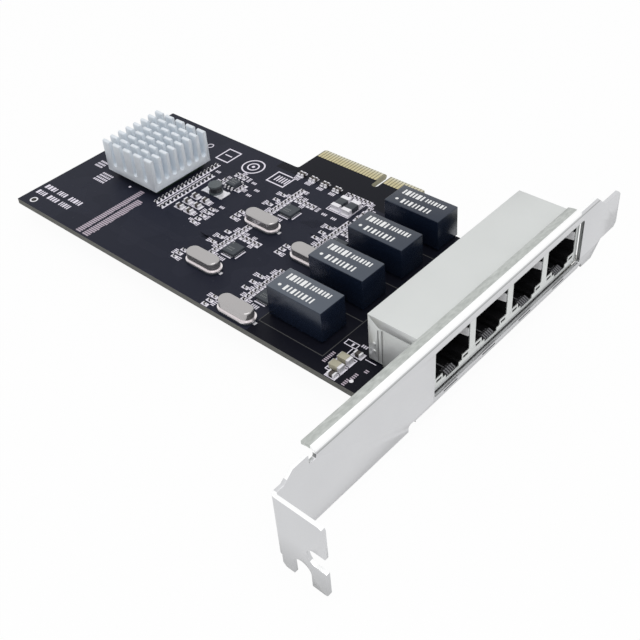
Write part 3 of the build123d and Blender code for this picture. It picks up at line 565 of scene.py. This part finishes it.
# Hollow bead of solder from a cap down to its pad.
def addFillet(bm, low, high, axis, side):
    look = partLook
    face = (high if side > 0 else low)[axis]
    rise = (high.z - boardTop) * look["filletRise"]
    outline = [(-look["filletLap"], sunkTop), (-look["filletLap"], boardTop + rise + look["filletLift"])]
    for step in range(look["filletSteps"]):
        turn = math.pi / 2 * step / look["filletSteps"]
        up = rise * (1 - math.sin(turn)) + look["filletLift"]
        outline.append((look["filletReach"] * (1 - math.cos(turn)), boardTop + up))
    outline.append((look["filletReach"], sunkTop))
    rings = []
    for place in (low[1 - axis] + look["filletInset"], high[1 - axis] - look["filletInset"]):
        spots = [(face + side * out, place, z) for out, z in outline]
        rings.append(spots if axis == 0 else [(y, x, z) for x, y, z in spots])
    addSkin(bm, rings)


# End cap on its pad, with its fillet.
def addEnd(bm, low, high, axis, side):
    look = partLook
    addBlock(bm, low, high, look["capEdge"])
    padLow, padHigh = low.copy(), high.copy()
    (padHigh if side > 0 else padLow)[axis] += side * look["padReach"]
    padLow[1 - axis] -= look["padSide"]
    padHigh[1 - axis] += look["padSide"]
    padLow.z, padHigh.z = sunkTop, boardTop + look["padThick"]
    addBlock(bm, padLow, padHigh)
    addFillet(bm, low, high, axis, side)


# Dresses a node of chip parts and the node of their ends. The bodies take the finishes in turn.
def dressChipParts(bodyNode, endNode, stem, finishNames, skin=plainSkin):
    bodies = solidsOf(bodyNode)
    middles = [(low + high) / 2 for low, high in bodies]
    alongX = {}
    bm = bmesh.new()
    for low, high in solidsOf(endNode):
        middle = (low + high) / 2
        nearest = min(range(len(bodies)), key=lambda index: (middles[index] - middle).length)
        away = middle - middles[nearest]
        axis = 0 if abs(away.x) > abs(away.y) else 1
        alongX[nearest] = axis == 0
        low[1 - axis] += skin["capInset"]
        high[1 - axis] -= skin["capInset"]
        addEnd(bm, low, high, axis, math.copysign(1, away[axis]))
    makePiece(f"{stem}_caps", bm, "tin", (endNode,))
    for order, finish in enumerate(finishNames):
        bm = bmesh.new()
        for index in range(order, len(bodies), len(finishNames)):
            axis = 0 if alongX[index] else 1
            low, high = bodies[index][0].copy(), bodies[index][1].copy()
            low[axis] -= skin["lap"]
            low[1 - axis] += skin["inset"]
            high[1 - axis] -= skin["inset"]
            high.z += skin["rise"]
            addBlock(bm, low, high, partLook["bodyEdge"])
        makePiece(f"{stem}_bodies_{finish}", bm, finish, (bodyNode,))
    return [(low, high, alongX[index]) for index, (low, high) in enumerate(bodies)]


smallParts = dressChipParts("small_part_bodies", "small_part_ends", "small_part",
                            ["ceramic_brown", "resistor_black"])
couplingParts = dressChipParts("coupling_capacitors", "coupling_capacitor_ends", "coupling",
                               ["ceramic_brown"])
bulkParts = dressChipParts("bulk_capacitors", "bulk_capacitor_ends", "bulk", ["ceramic_cream"], bulkSkin)
filterParts = dressChipParts("filter_capacitors", "filter_capacitor_ends", "filter", ["ceramic_brown"])
supplyParts = dressChipParts("supply_parts", "supply_part_ends", "supply", ["chip_black"])
chipParts = smallParts + couplingParts + bulkParts + filterParts + supplyParts
print("chip parts:", len(chipParts))

# Choke: turns of fine wire round its waist
choke = {"turns": 10, "wire": 0.07, "pointsPerTurn": 24}
low, high = boxOf("choke_winding")
centre = (low + high) / 2
wire = choke["wire"]
radius = (high.x - low.x) / 2 - wire
curve = bpy.data.curves.new("choke_turns", "CURVE")
curve.dimensions = "3D"
curve.bevel_depth = wire * mm
curve.bevel_resolution = 2
spline = curve.splines.new("POLY")
count = choke["turns"] * choke["pointsPerTurn"]
spline.points.add(count)
for index in range(count + 1):
    turn = math.tau * index / choke["pointsPerTurn"]
    z = low.z + wire + (high.z - low.z - 2 * wire) * index / count
    place = Vector((centre.x + radius * math.cos(turn), centre.y + radius * math.sin(turn), z)) * mm
    spline.points[index].co = (*place, 1)
curve.materials.append(finishes["copper"])
turns = bpy.data.objects.new("choke_turns", curve)
scene.collection.objects.link(turns)
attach(turns, "root")

# Choke's solder pads, wide at their outer ends
pad = {"outX": (-3.915, 3.335), "inX": (-1.0, 1.0), "wide": 2.0, "narrow": 0.9, "thick": 0.16}
bm = bmesh.new()
for outX, inX in zip(pad["outX"], pad["inX"]):
    corners = [(centre.x + outX, centre.y - pad["wide"]), (centre.x + inX, centre.y - pad["narrow"]),
               (centre.x + inX, centre.y + pad["narrow"]), (centre.x + outX, centre.y + pad["wide"])]
    addPlate(bm, corners, sunkTop, boardTop + pad["thick"])
makePiece("choke_pads", bm, "tin")

# Plated ring round the far tooling hole, and solder that fills the small hole behind the jack
hole = {"ring": (4.2, 2.4, 0.95), "ringWidth": 0.4, "plug": (1.4, 2.3, 0.5), "plugDepth": 0.4,
        "thick": 0.03}
bm = bmesh.new()
x, y, radius = hole["ring"]
ring = circlePoints(boardLow.x + x, boardLow.y + y, radius, 28)
addLine(bm, ring, hole["ringWidth"], sunkTop, boardTop + hole["thick"], True)
x, y, radius = hole["plug"]
plug = circlePoints(shieldLow.x + x, boardLow.y + y, radius, 20)
addPlate(bm, plug, boardTop - hole["plugDepth"], boardTop + hole["thick"])
makePiece("hole_rings", bm, "tin")

# Earth springs: bent strips on the ports' walls, and ribs that dive behind the sill on their floors
spring = {"thick": 0.22, "bend": 0.3, "tailInset": 0.05, "ribs": 5, "ribWidth": 0.34,
          "peak": 1.1, "dive": 1.9, "shelf": 0.2, "nose": 0.25, "foot": 0.02, "tallest": 1.5}
wallSprings, floorSprings = bmesh.new(), bmesh.new()
springs = solidsOf("jack_earth_springs")
portCentres = [(low.y + high.y) / 2 for low, high in springs if high.z - low.z < spring["tallest"]]
for low, high in springs:
    if high.z - low.z > spring["tallest"]:
        middle, half = (low.y + high.y) / 2, spring["thick"] / 2
        side = math.copysign(1, middle - min(portCentres, key=lambda centreY: abs(centreY - middle)))
        wallY = high.y - half if side > 0 else low.y + half
        bulge = side * (high.y - low.y - spring["thick"])
        bendX = low.x + spring["bend"] * (high.x - low.x)
        tail = (low.x + spring["tailInset"], wallY - spring["bend"] * bulge)
        points = [(high.x, wallY), (bendX, wallY - bulge), tail]
        addLine(wallSprings, points, spring["thick"], low.z, high.z)
        continue
    diveX, foot = high.x - spring["dive"], low.z + spring["foot"]
    for order in range(spring["ribs"]):
        y = low.y + (high.y - low.y) * order / (spring["ribs"] - 1) - spring["ribWidth"] / 2
        tail = low.x if order == spring["ribs"] // 2 else diveX - spring["shelf"]
        outline = [(high.x - spring["peak"], high.z), (high.x, low.z + spring["nose"]),
                   (high.x, low.z), (tail, low.z), (tail, foot), (diveX, foot)]
        sides = (y, y + spring["ribWidth"])
        addSkin(floorSprings, [[(x, place, z) for x, z in outline] for place in sides])
makePiece("wall_springs", wallSprings, "spring_metal", ("jack_earth_springs",))
# the floor ribs take painted shade
makePiece("floor_springs", floorSprings, "spring_painted_shade", ("jack_earth_springs",))

# Folded seams on the shield's two side walls, each with its place from the back and its drop from the top
seam = {"seams": ((2.675, 3.22), (3.775, 2.72)), "half": 0.07, "thick": 0.03, "foot": 1.0}
bm = bmesh.new()
for y, side in ((shieldLow.y, -1), (shieldHigh.y, 1)):
    nearY, farY = sorted((y, y + side * seam["thick"]))
    for back, drop in seam["seams"]:
        x = shieldLow.x + back
        low = (x - seam["half"], nearY, boardTop + seam["foot"])
        addBlock(bm, low, (x + seam["half"], farY, shieldHigh.z - drop))
makePiece("shield_seams", bm, "groove")

# Solder joints where pins and wires come through the board
joint = {"spread": 1.9, "profile": [(1.0, -0.02), (1.0, 0.0), (0.82, 0.12), (0.62, 0.34), (0.5, 0.62),
                                    (0.44, 0.9)], "sides": 12, "wireShift": 0.75}
bm = bmesh.new()


def addJoint(x, y, radius):
    foot = radius * joint["spread"]
    rings = []
    for share, depth in joint["profile"]:
        circle = circlePoints(x, y, foot * share, joint["sides"])
        rings.append([(*point, boardBottom - depth) for point in circle])
    addSkin(bm, rings)


for number in range(1, 5):
    for low, high in solidsOf(f"transformer_pins_{number}"):
        addJoint((low.x + high.x) / 2, (low.y + high.y) / 2, (high.x - low.x) / 2)
for low, high in solidsOf("contact_wires"):
    wireHalf = (high.y - low.y) / 2
    addJoint(low.x + joint["wireShift"] * wireHalf, (low.y + high.y) / 2, wireHalf)
makePiece("solder_joints", bm, "tin")
print("solder")

# Print on the board: outlines, short ticks in place of words, dots and rings
printLook = {"thick": 0.02, "tick": 0.3, "tickGap": 0.24, "tickHeight": 1.0, "tickShares": (0.7, 1.15),
             "labelGaps": (0.35, 0.75, 1.3), "labelMargin": 0.12, "edgeMargin": 0.6, "farMargin": 1.0}
printTop = boardTop + printLook["thick"]
whitePrint, greyPrint, dimPrint, underPrint = [bmesh.new() for _ in range(4)]
dice = random.Random(11)
groupBoxes = [boxOf(name) for name in ("heatsink", "choke_terminals", "memory_chip", "jack_shield")]
taken = [boxPoints(low, high, 0.15) for low, high, _ in chipParts]
taken += [boxPoints(low, high, 0.8) for low, high in shellBoxes + chipBoxes + canBoxes]
taken += [boxPoints(low, high, 0.4) for low, high in groupBoxes]


# Tells whether a rectangle lies on the board clear of everything placed so far.
def isFree(low, high):
    margin, farY = printLook["edgeMargin"], shellBoxes[3][1].y - printLook["farMargin"]
    inside = boardLow.x + margin < low[0] and high[0] < boardHigh.x - margin
    return inside and boardLow.y + margin < low[1] and high[1] < farY and all(
        high[0] < box[0][0] or low[0] > box[2][0] or high[1] < box[0][1] or low[1] > box[2][1]
        for box in taken)


def printPlate(outline, layer=whitePrint):
    addPlate(layer, outline, sunkTop, printTop)


def printLine(points, width, closed=False, layer=whitePrint):
    addLine(layer, points, width, sunkTop, printTop, closed)


def printBox(low, high, width):
    printLine(boxPoints(low, high), width, True)


# Row of plain bars in place of a word, along X or along Y.
def printBars(x, y, widths, height, gap=printLook["tickGap"], alongY=False):
    for width in widths:
        across, up = (height, width) if alongY else (width, height)
        printPlate(boxPoints((x, y), (x + across, y + up)))
        x, y = (x, y + width + gap) if alongY else (x + width + gap, y)


# Short row of ticks near a part, on the first side that is free.
def printLabel(middle, half, count):
    length = count * printLook["tick"] + (count - 1) * printLook["tickGap"]
    height = printLook["tickHeight"]
    choices = []
    for gap in printLook["labelGaps"]:
        choices += [(half[0] + gap, -length / 2, True), (-half[0] - gap - height, -length / 2, True),
                    (-length / 2, half[1] + gap, False), (-length / 2, -half[1] - gap - height, False)]
    for x, y, alongY in choices:
        low = (middle.x + x, middle.y + y)
        high = (low[0] + (height if alongY else length), low[1] + (length if alongY else height))
        if isFree(low, high):
            widths = [printLook["tick"] * dice.uniform(*printLook["tickShares"]) for _ in range(count)]
            printBars(*low, widths, height, alongY=alongY)
            taken.append(boxPoints(low, high, printLook["labelMargin"]))
            return


# Outline round the transformers, left open at the board's edge, and a line between each two
field = {"low": (-0.5, -2.8), "high": (2.4, -12.2), "line": 0.2}
(left, near), (right, far) = field["low"], field["high"]
left, right = shellBoxes[0][0].x + left, shellBoxes[0][1].x + right
near, far = shellBoxes[0][0].y + near, boardHigh.y + far
printLine([(left, far), (left, near), (right, near), (right, far)], field["line"], layer=greyPrint)
for (_, high), (low, _) in zip(shellBoxes, shellBoxes[1:]):
    y = (low.y + high.y) / 2
    printLine([(left, y), (right, y)], field["line"], layer=greyPrint)

# Lines, a corner dot and ticks round each interface chip
chipPrint = {"gap": 0.55, "line": 0.4, "ends": (0.2, 0.5), "dotOut": 0.7, "dot": 0.3,
             "ticks": ([0.34] * 4, 1.2, 0.26), "ticksAt": (0.6, -2.6)}
for low, high in chipBoxes:
    gap, out, (start, end) = chipPrint["gap"], chipPrint["dotOut"], chipPrint["ends"]
    printLine([(low.x + start, low.y - gap), (high.x - end, low.y - gap)], chipPrint["line"])
    printLine([(high.x + gap, low.y), (high.x + gap, high.y - end)], chipPrint["line"])
    printPlate(circlePoints(low.x - out, high.y + out, chipPrint["dot"], 12))
    x, y = chipPrint["ticksAt"]
    printBars(low.x + x, low.y + y, *chipPrint["ticks"])

# Outlines of the chip parts, a line and ticks at each pair of coupling capacitors, and labels
partPrint = {"half": (0.9, 0.44), "line": 0.2, "heavyLine": 0.22, "along": 0.35, "across": 0.3,
             "labelGap": 0.5, "labelCounts": (3, 3, 4), "ladderReach": 4.5}
ladderEnd = heatsinkHigh.x + partPrint["ladderReach"]
ladderParts = [part for part in smallParts if part[0].x < ladderEnd and part[2]]
otherParts = [part for part in smallParts if part not in ladderParts]
for low, high, alongX in otherParts:
    half = Vector((*(partPrint["half"] if alongX else partPrint["half"][::-1]), 0))
    printBox((low + high) / 2 - half, (low + high) / 2 + half, partPrint["line"])
pairPrint = {"lineX": -0.3, "reach": 0.5, "line": 0.2, "ticks": ([0.3] * 4, 1.2, 0.22),
             "ticksAt": (-0.1, -2.3), "side": 0.4, "below": 2.8, "margin": 0.2}
for (low, high, _), (_, farHigh, _) in zip(couplingParts[::2], couplingParts[1::2]):
    x, side, reach = low.x + pairPrint["lineX"], pairPrint["side"], pairPrint["reach"]
    printLine([(x, low.y - reach), (x, high.y + reach)], pairPrint["line"])
    x, y = pairPrint["ticksAt"]
    printBars(low.x + x, low.y + y, *pairPrint["ticks"])
    near = (low.x - side, low.y - pairPrint["below"])
    taken.append(boxPoints(near, (farHigh.x + side, low.y), pairPrint["margin"]))
for low, high, alongX in bulkParts + filterParts + supplyParts:
    along = (high.x - low.x if alongX else high.y - low.y) / 2 + partPrint["along"]
    grown = Vector((along, partPrint["across"], 0) if alongX else (partPrint["across"], along, 0))
    printBox(low - grown, high + grown, partPrint["heavyLine"])
for order, (low, high, _) in enumerate(otherParts + filterParts):
    if order % 3 != 1:
        half = [size / 2 + partPrint["labelGap"] for size in high - low]
        printLabel((low + high) / 2, half, dice.choice(partPrint["labelCounts"]))

# Ladders' long lines beside the two rows of small parts next to the heatsink
ladder = {"line": 0.36, "sides": [[0.95], [-1.0, 0.95]], "reach": 0.6, "sameColumn": 0.1}
columns = sorted({round((low.x + high.x) / 2, 2) for low, high, _ in ladderParts})
for x, sides in zip(columns, ladder["sides"]):
    places = [(low.y + high.y) / 2 for low, high, _ in ladderParts
              if abs((low.x + high.x) / 2 - x) < ladder["sameColumn"]]
    first, last = min(places) - ladder["reach"], max(places) + ladder["reach"]
    for side in sides:
        printLine([(x + side, first), (x + side, last)], ladder["line"])

# Print on the underside: outlines of the pin fields, rows of plain bars and a few boxes
under = {"line": 0.25, "margin": 0.1, "far": 12.5, "widths": (0.5, 0.8, 1.1), "gap": 0.6,
         "rows": [(-62.0, -16.0, 16, 2.2), (-62.0, -19.8, 11, 2.2), (-30.0, 18.0, 9, 1.4),
                  (-30.0, 15.4, 7, 1.4)],
         "boxes": [(-66.0, 20.0, 9.0, 5.0), (-52.0, -3.0, 24.0, 18.0), (-12.0, -17.0, 7.0, 3.2),
                   (0.0, 24.0, 8.0, 4.0)]}
underTop, underBottom = boardBottom + meshLook["sunk"], boardBottom - printLook["thick"]
outlines = []
for low, high in shellBoxes:
    farY = min(high.y, boardHigh.y - under["far"])
    outlines.append(boxPoints(low, (high.x, farY), under["margin"]))
for x, y, count, height in under["rows"]:
    for _ in range(count):
        width = dice.choice(under["widths"])
        addPlate(underPrint, boxPoints((x, y), (x + width, y + height)), underBottom, underTop)
        x += width + under["gap"]
for x, y, width, height in under["boxes"]:
    outlines.append(boxPoints((x, y), (x + width, y + height)))
for outline in outlines:
    addLine(underPrint, outline, under["line"], underBottom, underTop, True)
makePiece("under_print", underPrint, "print")

# Two rows of plain bars in the far corner, with gaps between groups
corner = {"x": -71.3, "rows": (-15.4, -18.4), "height": 1.7, "widths": (0.4, 0.6, 0.9), "gap": 0.42,
          "count": 15, "blank": (4, 9)}
for y in corner["rows"]:
    x = corner["x"]
    for order in range(corner["count"]):
        width = dice.choice(corner["widths"])
        if order not in corner["blank"]:
            printBars(x, y, [width], corner["height"])
        x += width + corner["gap"]

# Ladders of short dim bars along the low half of the board, and dim labels near its low edge
dim = {"ladders": [(-47.7, 2.0, -0.2), (-45.0, 2.5, -4.1)], "first": -22.6, "pitch": 0.68,
       "height": 0.46, "shares": (0.85, 1.0), "labelPitch": 0.56, "labelBar": (0.9, 0.32),
       "labels": [(43.9, -23.0, 4), (44.3, -20.6, 4), (36.0, -20.1, 7), (45.4, -17.3, 2)]}
for x, width, last in dim["ladders"]:
    y = dim["first"]
    while y < last:
        reach = width * dice.uniform(*dim["shares"])
        printPlate(boxPoints((x, y), (x + reach, y + dim["height"])), dimPrint)
        y += dim["pitch"]
for x, y, count in dim["labels"]:
    for order in range(count):
        place = Vector((x, y + dim["labelPitch"] * order))
        printPlate(boxPoints(place, place + Vector(dim["labelBar"])), dimPrint)

# Small blocks of bars, rows of ticks and plain signs in the open places
blocks = [(-63.6, -4.4, 4, 4.6), (-69.0, 0.4, 3, 3.2), (-18.3, 30.0, 3, 2.2), (-13.7, 29.8, 3, 2.0)]
block = {"pitch": 1.1, "height": 0.7, "bars": 6}
for x, y, rows, length in blocks:
    barGap = length / (3 * block["bars"])
    for row in range(rows):
        widths = [2 * barGap] * block["bars"]
        printBars(x, y + row * block["pitch"], widths, block["height"], barGap)
tickPlaces = [(-17.9, 31.4), (-13.3, 31.0), (-25.9, 16.0), (-25.7, 20.2), (-22.8, 15.2), (-22.6, 18.1),
              (-24.6, 3.2), (-24.8, 5.0), (-24.5, 6.9), (-27.2, -1.6), (-37.9, 18.4), (39.9, -11.6),
              (-0.6, 20.6), (2.6, 20.6), (7.4, 25.0), (7.4, 27.4), (7.4, 29.8)]
for x, y in tickPlaces:
    printBars(x, y, [0.34] * 3, 0.9)
signs = [(printBox, (-1.2, 23.4), (6.1, 31.7), 0.26), (printBox, (36.2, -12.9), (39.4, -11.4), 0.22),
         (printBox, (-43.2, 23.7), (-38.6, 29.3), 0.42), (printBox, (-23.4, 23.9), (-17.4, 28.9), 0.42),
         (printLine, [(38.9, -15.2), (38.9, -13.1)], 0.24), (printLine, [(43.2, -14.1), (46.2, -14.1)], 0.2),
         (printLine, [(-42.2, 26.5), (-39.6, 26.5)], 0.42),
         (printLine, circlePoints(-31.0, 26.5, 3.2, 40), 0.42, True),
         (printLine, circlePoints(-31.0, 26.5, 1.6, 40), 0.42, True),
         (printLine, circlePoints(-49.2, 27.2, 0.9, 24), 0.3, True),
         (printPlate, circlePoints(-31.0, 26.5, 0.5, 20)), (printPlate, circlePoints(-51.7, -0.9, 0.4, 16)),
         (printBars, 37.9, -12.6, [0.5], 0.9), (printBars, -22.0, 25.1, [0.42] * 5, 2.6, 0.5)]
for draw, *details in signs:
    draw(*details)
makePiece("board_print", whitePrint, "print")
makePiece("ladder_print", dimPrint, "printDim")
makePiece("base_outlines", greyPrint, "printGrey")
print("print")

# Tracks under the mask and covered vias, on both faces of the board
track = {"width": 0.18, "pitch": 0.42, "thick": 0.011, "via": 0.3, "viaRise": 0.002, "viaSides": 12,
         "viaCount": 90, "viaMargin": 3, "viaFar": 15}


def trackLevels(side):
    if side > 0:
        return sunkTop, boardTop + track["thick"]
    return boardBottom - track["thick"], boardBottom + meshLook["sunk"]


# Bundle of side-by-side tracks through the given points, on the upper face or, at side -1, on the lower.
def addTracks(bm, points, count, side=1):
    bottom, top = trackLevels(side)
    for order in range(count):
        shift = (order - (count - 1) / 2) * track["pitch"]
        shifted = []
        for index, (x, y) in enumerate(points):
            ahead = Vector(points[min(index + 1, len(points) - 1)]) - Vector(points[max(index - 1, 0)])
            across = Vector((-ahead.y, ahead.x)).normalized() * shift
            shifted.append((x + across.x, y + across.y))
        addLine(bm, shifted, track["width"], bottom, top)


# Bundles from the chips to the transformers, and from those to the jack
bus = {"chipGap": 0.4, "before": 2.0, "under": 3.0, "far": 16.0,
       "out": [(-1.0, 0.0), (4.0, 0.0), (6.0, 2.0)], "jack": (1.5, 2.0)}
bm = bmesh.new()
for (chipLow, chipHigh), (low, high) in zip(chipBoxes[2:] + chipBoxes[:2], shellBoxes):
    startX, startY = chipHigh.x + bus["chipGap"], (chipLow.y + chipHigh.y) / 2
    endX, endY = low.x - bus["before"], (low.y + high.y) / 2
    bendX = endX - abs(endY - startY)
    points = [(startX, startY), (bendX, startY), (endX, endY), (low.x + bus["under"], endY)]
    addTracks(bm, points, 8)
for low, high in shellBoxes:
    y = min((low.y + high.y) / 2, boardHigh.y - bus["far"])
    points = [(high.x + out, y + up) for out, up in bus["out"]]
    points.append((shieldLow.x + bus["jack"][0], y + bus["jack"][1]))
    addTracks(bm, points, 8)

# Four pairs that fan out from the heatsink's side: x, y, and what each pair adds to them
fan = [(-2.0, 16.0, 0.0, -0.9), (1.0, 16.0, 0.0, -0.9), (15.0, 26.0, 3.1, -0.8), (21.0, 32.0, 3.1, 0.0)]
for order in range(4):
    points = [(heatsinkHigh.x + x + order * stepX, y + order * stepY) for x, y, stepX, stepY in fan]
    addTracks(bm, points, 2)

# Longer bundles: their points, number of tracks and face
bundles = [([(-62, -3), (-62, -9), (-55, -16), (-20, -16), (-14, -10)], 6, 1),
           ([(-48, -1), (-40, -9), (-22, -9), (-17, -4), (-11, -4)], 5, 1),
           ([(-46, -2), (-38, -19), (4, -19), (8, -15)], 6, -1),
           ([(-60, 8), (-60, 22), (-54, 28), (-24, 28), (-16, 40)], 8, -1),
           ([(-40, 4), (-20, 4), (-8, 16), (10, 16)], 8, -1),
           ([(-8, -4), (6, -4), (14, -12), (40, -12)], 5, -1),
           ([(14, 26), (24, 26), (34, 20), (45, 20)], 6, -1)]
for bundle in bundles:
    addTracks(bm, *bundle)
for side in (1, -1):
    bottom, top = trackLevels(side)
    if side > 0:
        top += track["viaRise"]
    margin, farY = track["viaMargin"], boardHigh.y - track["viaFar"]
    for _ in range(track["viaCount"]):
        x = dice.uniform(boardLow.x + margin, shieldLow.x - margin)
        y = dice.uniform(boardLow.y + margin, farY)
        addPlate(bm, circlePoints(x, y, track["via"], track["viaSides"]), bottom, top)
makePiece("board_tracks", bm, "tracks")

# Plain dot and short bars on the chips
mark = {"dotInset": 0.6, "dot": 0.2, "sunk": 0.02, "thick": 0.01, "barsX": 0.8, "barsY": (1.1, 1.9),
        "bars": ([0.22] * 4, 0.28, 0.45)}
bm = bmesh.new()
for low, high in chipBoxes + [boxOf("memory_chip")]:
    inset, top = mark["dotInset"], high.z
    dot = circlePoints(low.x + inset, high.y - inset, mark["dot"], 14)
    addPlate(bm, dot, top - mark["sunk"], top + mark["thick"])
    for up in mark["barsY"]:
        addBars(bm, low.x + mark["barsX"], low.y + up, *mark["bars"], top - mark["thick"])
makePiece("chip_marks", bm, "chipMark")
print("tracks and marks")

# Stage: pale floor, white surroundings and soft lamps, each with its place, size and power
stage = {"floorSize": 4.0, "floorGap": 0.0004, "floorAlbedo": 0.9, "shadowShare": 0.045, "ambient": 0.62,
         "lamps": [("key", (0.25, -0.1, 0.8), 0.7, 2.2), ("fill", (0.5, -0.6, 0.35), 0.6, 0.5)]}


# 1 for what the camera sees itself or in a reflection, 0 for light that reaches a surface.
def seenDirectly(start):
    camera = start.node("LightPath", out="Is Camera Ray")
    glossy = start.node("LightPath", out="Is Glossy Ray")
    through = start.node("LightPath", out="Is Transmission Ray")
    return start.node("Clamp", inputs={0: camera + glossy + through})


world = bpy.data.worlds.new("studio")
world.use_nodes = True
scene.world = world
start = Value(world.node_tree)
background = world.node_tree.nodes["Background"]
background.inputs["Color"].default_value = (1, 1, 1, 1)
strength = seenDirectly(start) * (1 - stage["ambient"]) + stage["ambient"]
world.node_tree.links.new(strength.socket, background.inputs["Strength"])

floorZ = cadLow.z - stage["floorGap"]
bpy.ops.mesh.primitive_plane_add(size=stage["floorSize"], location=(0, 0, floorZ))
floor = bpy.context.object
floor.name = "floor"
material = bpy.data.materials.new("floor_white")
material.use_nodes = True
tree = material.node_tree
tree.nodes.clear()
start = Value(tree)
matte = start.node("BsdfDiffuse", inputs={"Color": (stage["floorAlbedo"],) * 3 + (1,)})
glow = start.node("Emission")
share = seenDirectly(start) * (1 - stage["shadowShare"])
mixed = start.node("MixShader", inputs={0: share, 1: matte, 2: glow})
start.node("OutputMaterial", inputs={"Surface": mixed})
floor.data.materials.append(material)
for name, place, size, power in stage["lamps"]:
    data = bpy.data.lights.new(name, "AREA")
    data.shape = "DISK"
    data.size = size
    data.energy = power
    lamp = bpy.data.objects.new(name, data)
    lamp.location = place
    lamp.rotation_euler = (-Vector(place)).to_track_quat("-Z", "Y").to_euler()
    scene.collection.objects.link(lamp)

# Camera where the photograph was taken from
view = {"place": (144.042, -127.542, 150.76), "turn": (48.9086, 3.7167, 41.7841), "lens": 54.667,
        "nearest": 0.005}
cameraData = bpy.data.cameras.new("camera")
cameraData.lens = view["lens"]
cameraData.clip_start = view["nearest"]
camera = bpy.data.objects.new("camera", cameraData)
camera.location = Vector(view["place"]) * mm
camera.rotation_euler = Euler([math.radians(angle) for angle in view["turn"]], "XYZ")
scene.collection.objects.link(camera)
scene.camera = camera
scene.view_settings.view_transform = "Standard"
print("stage")
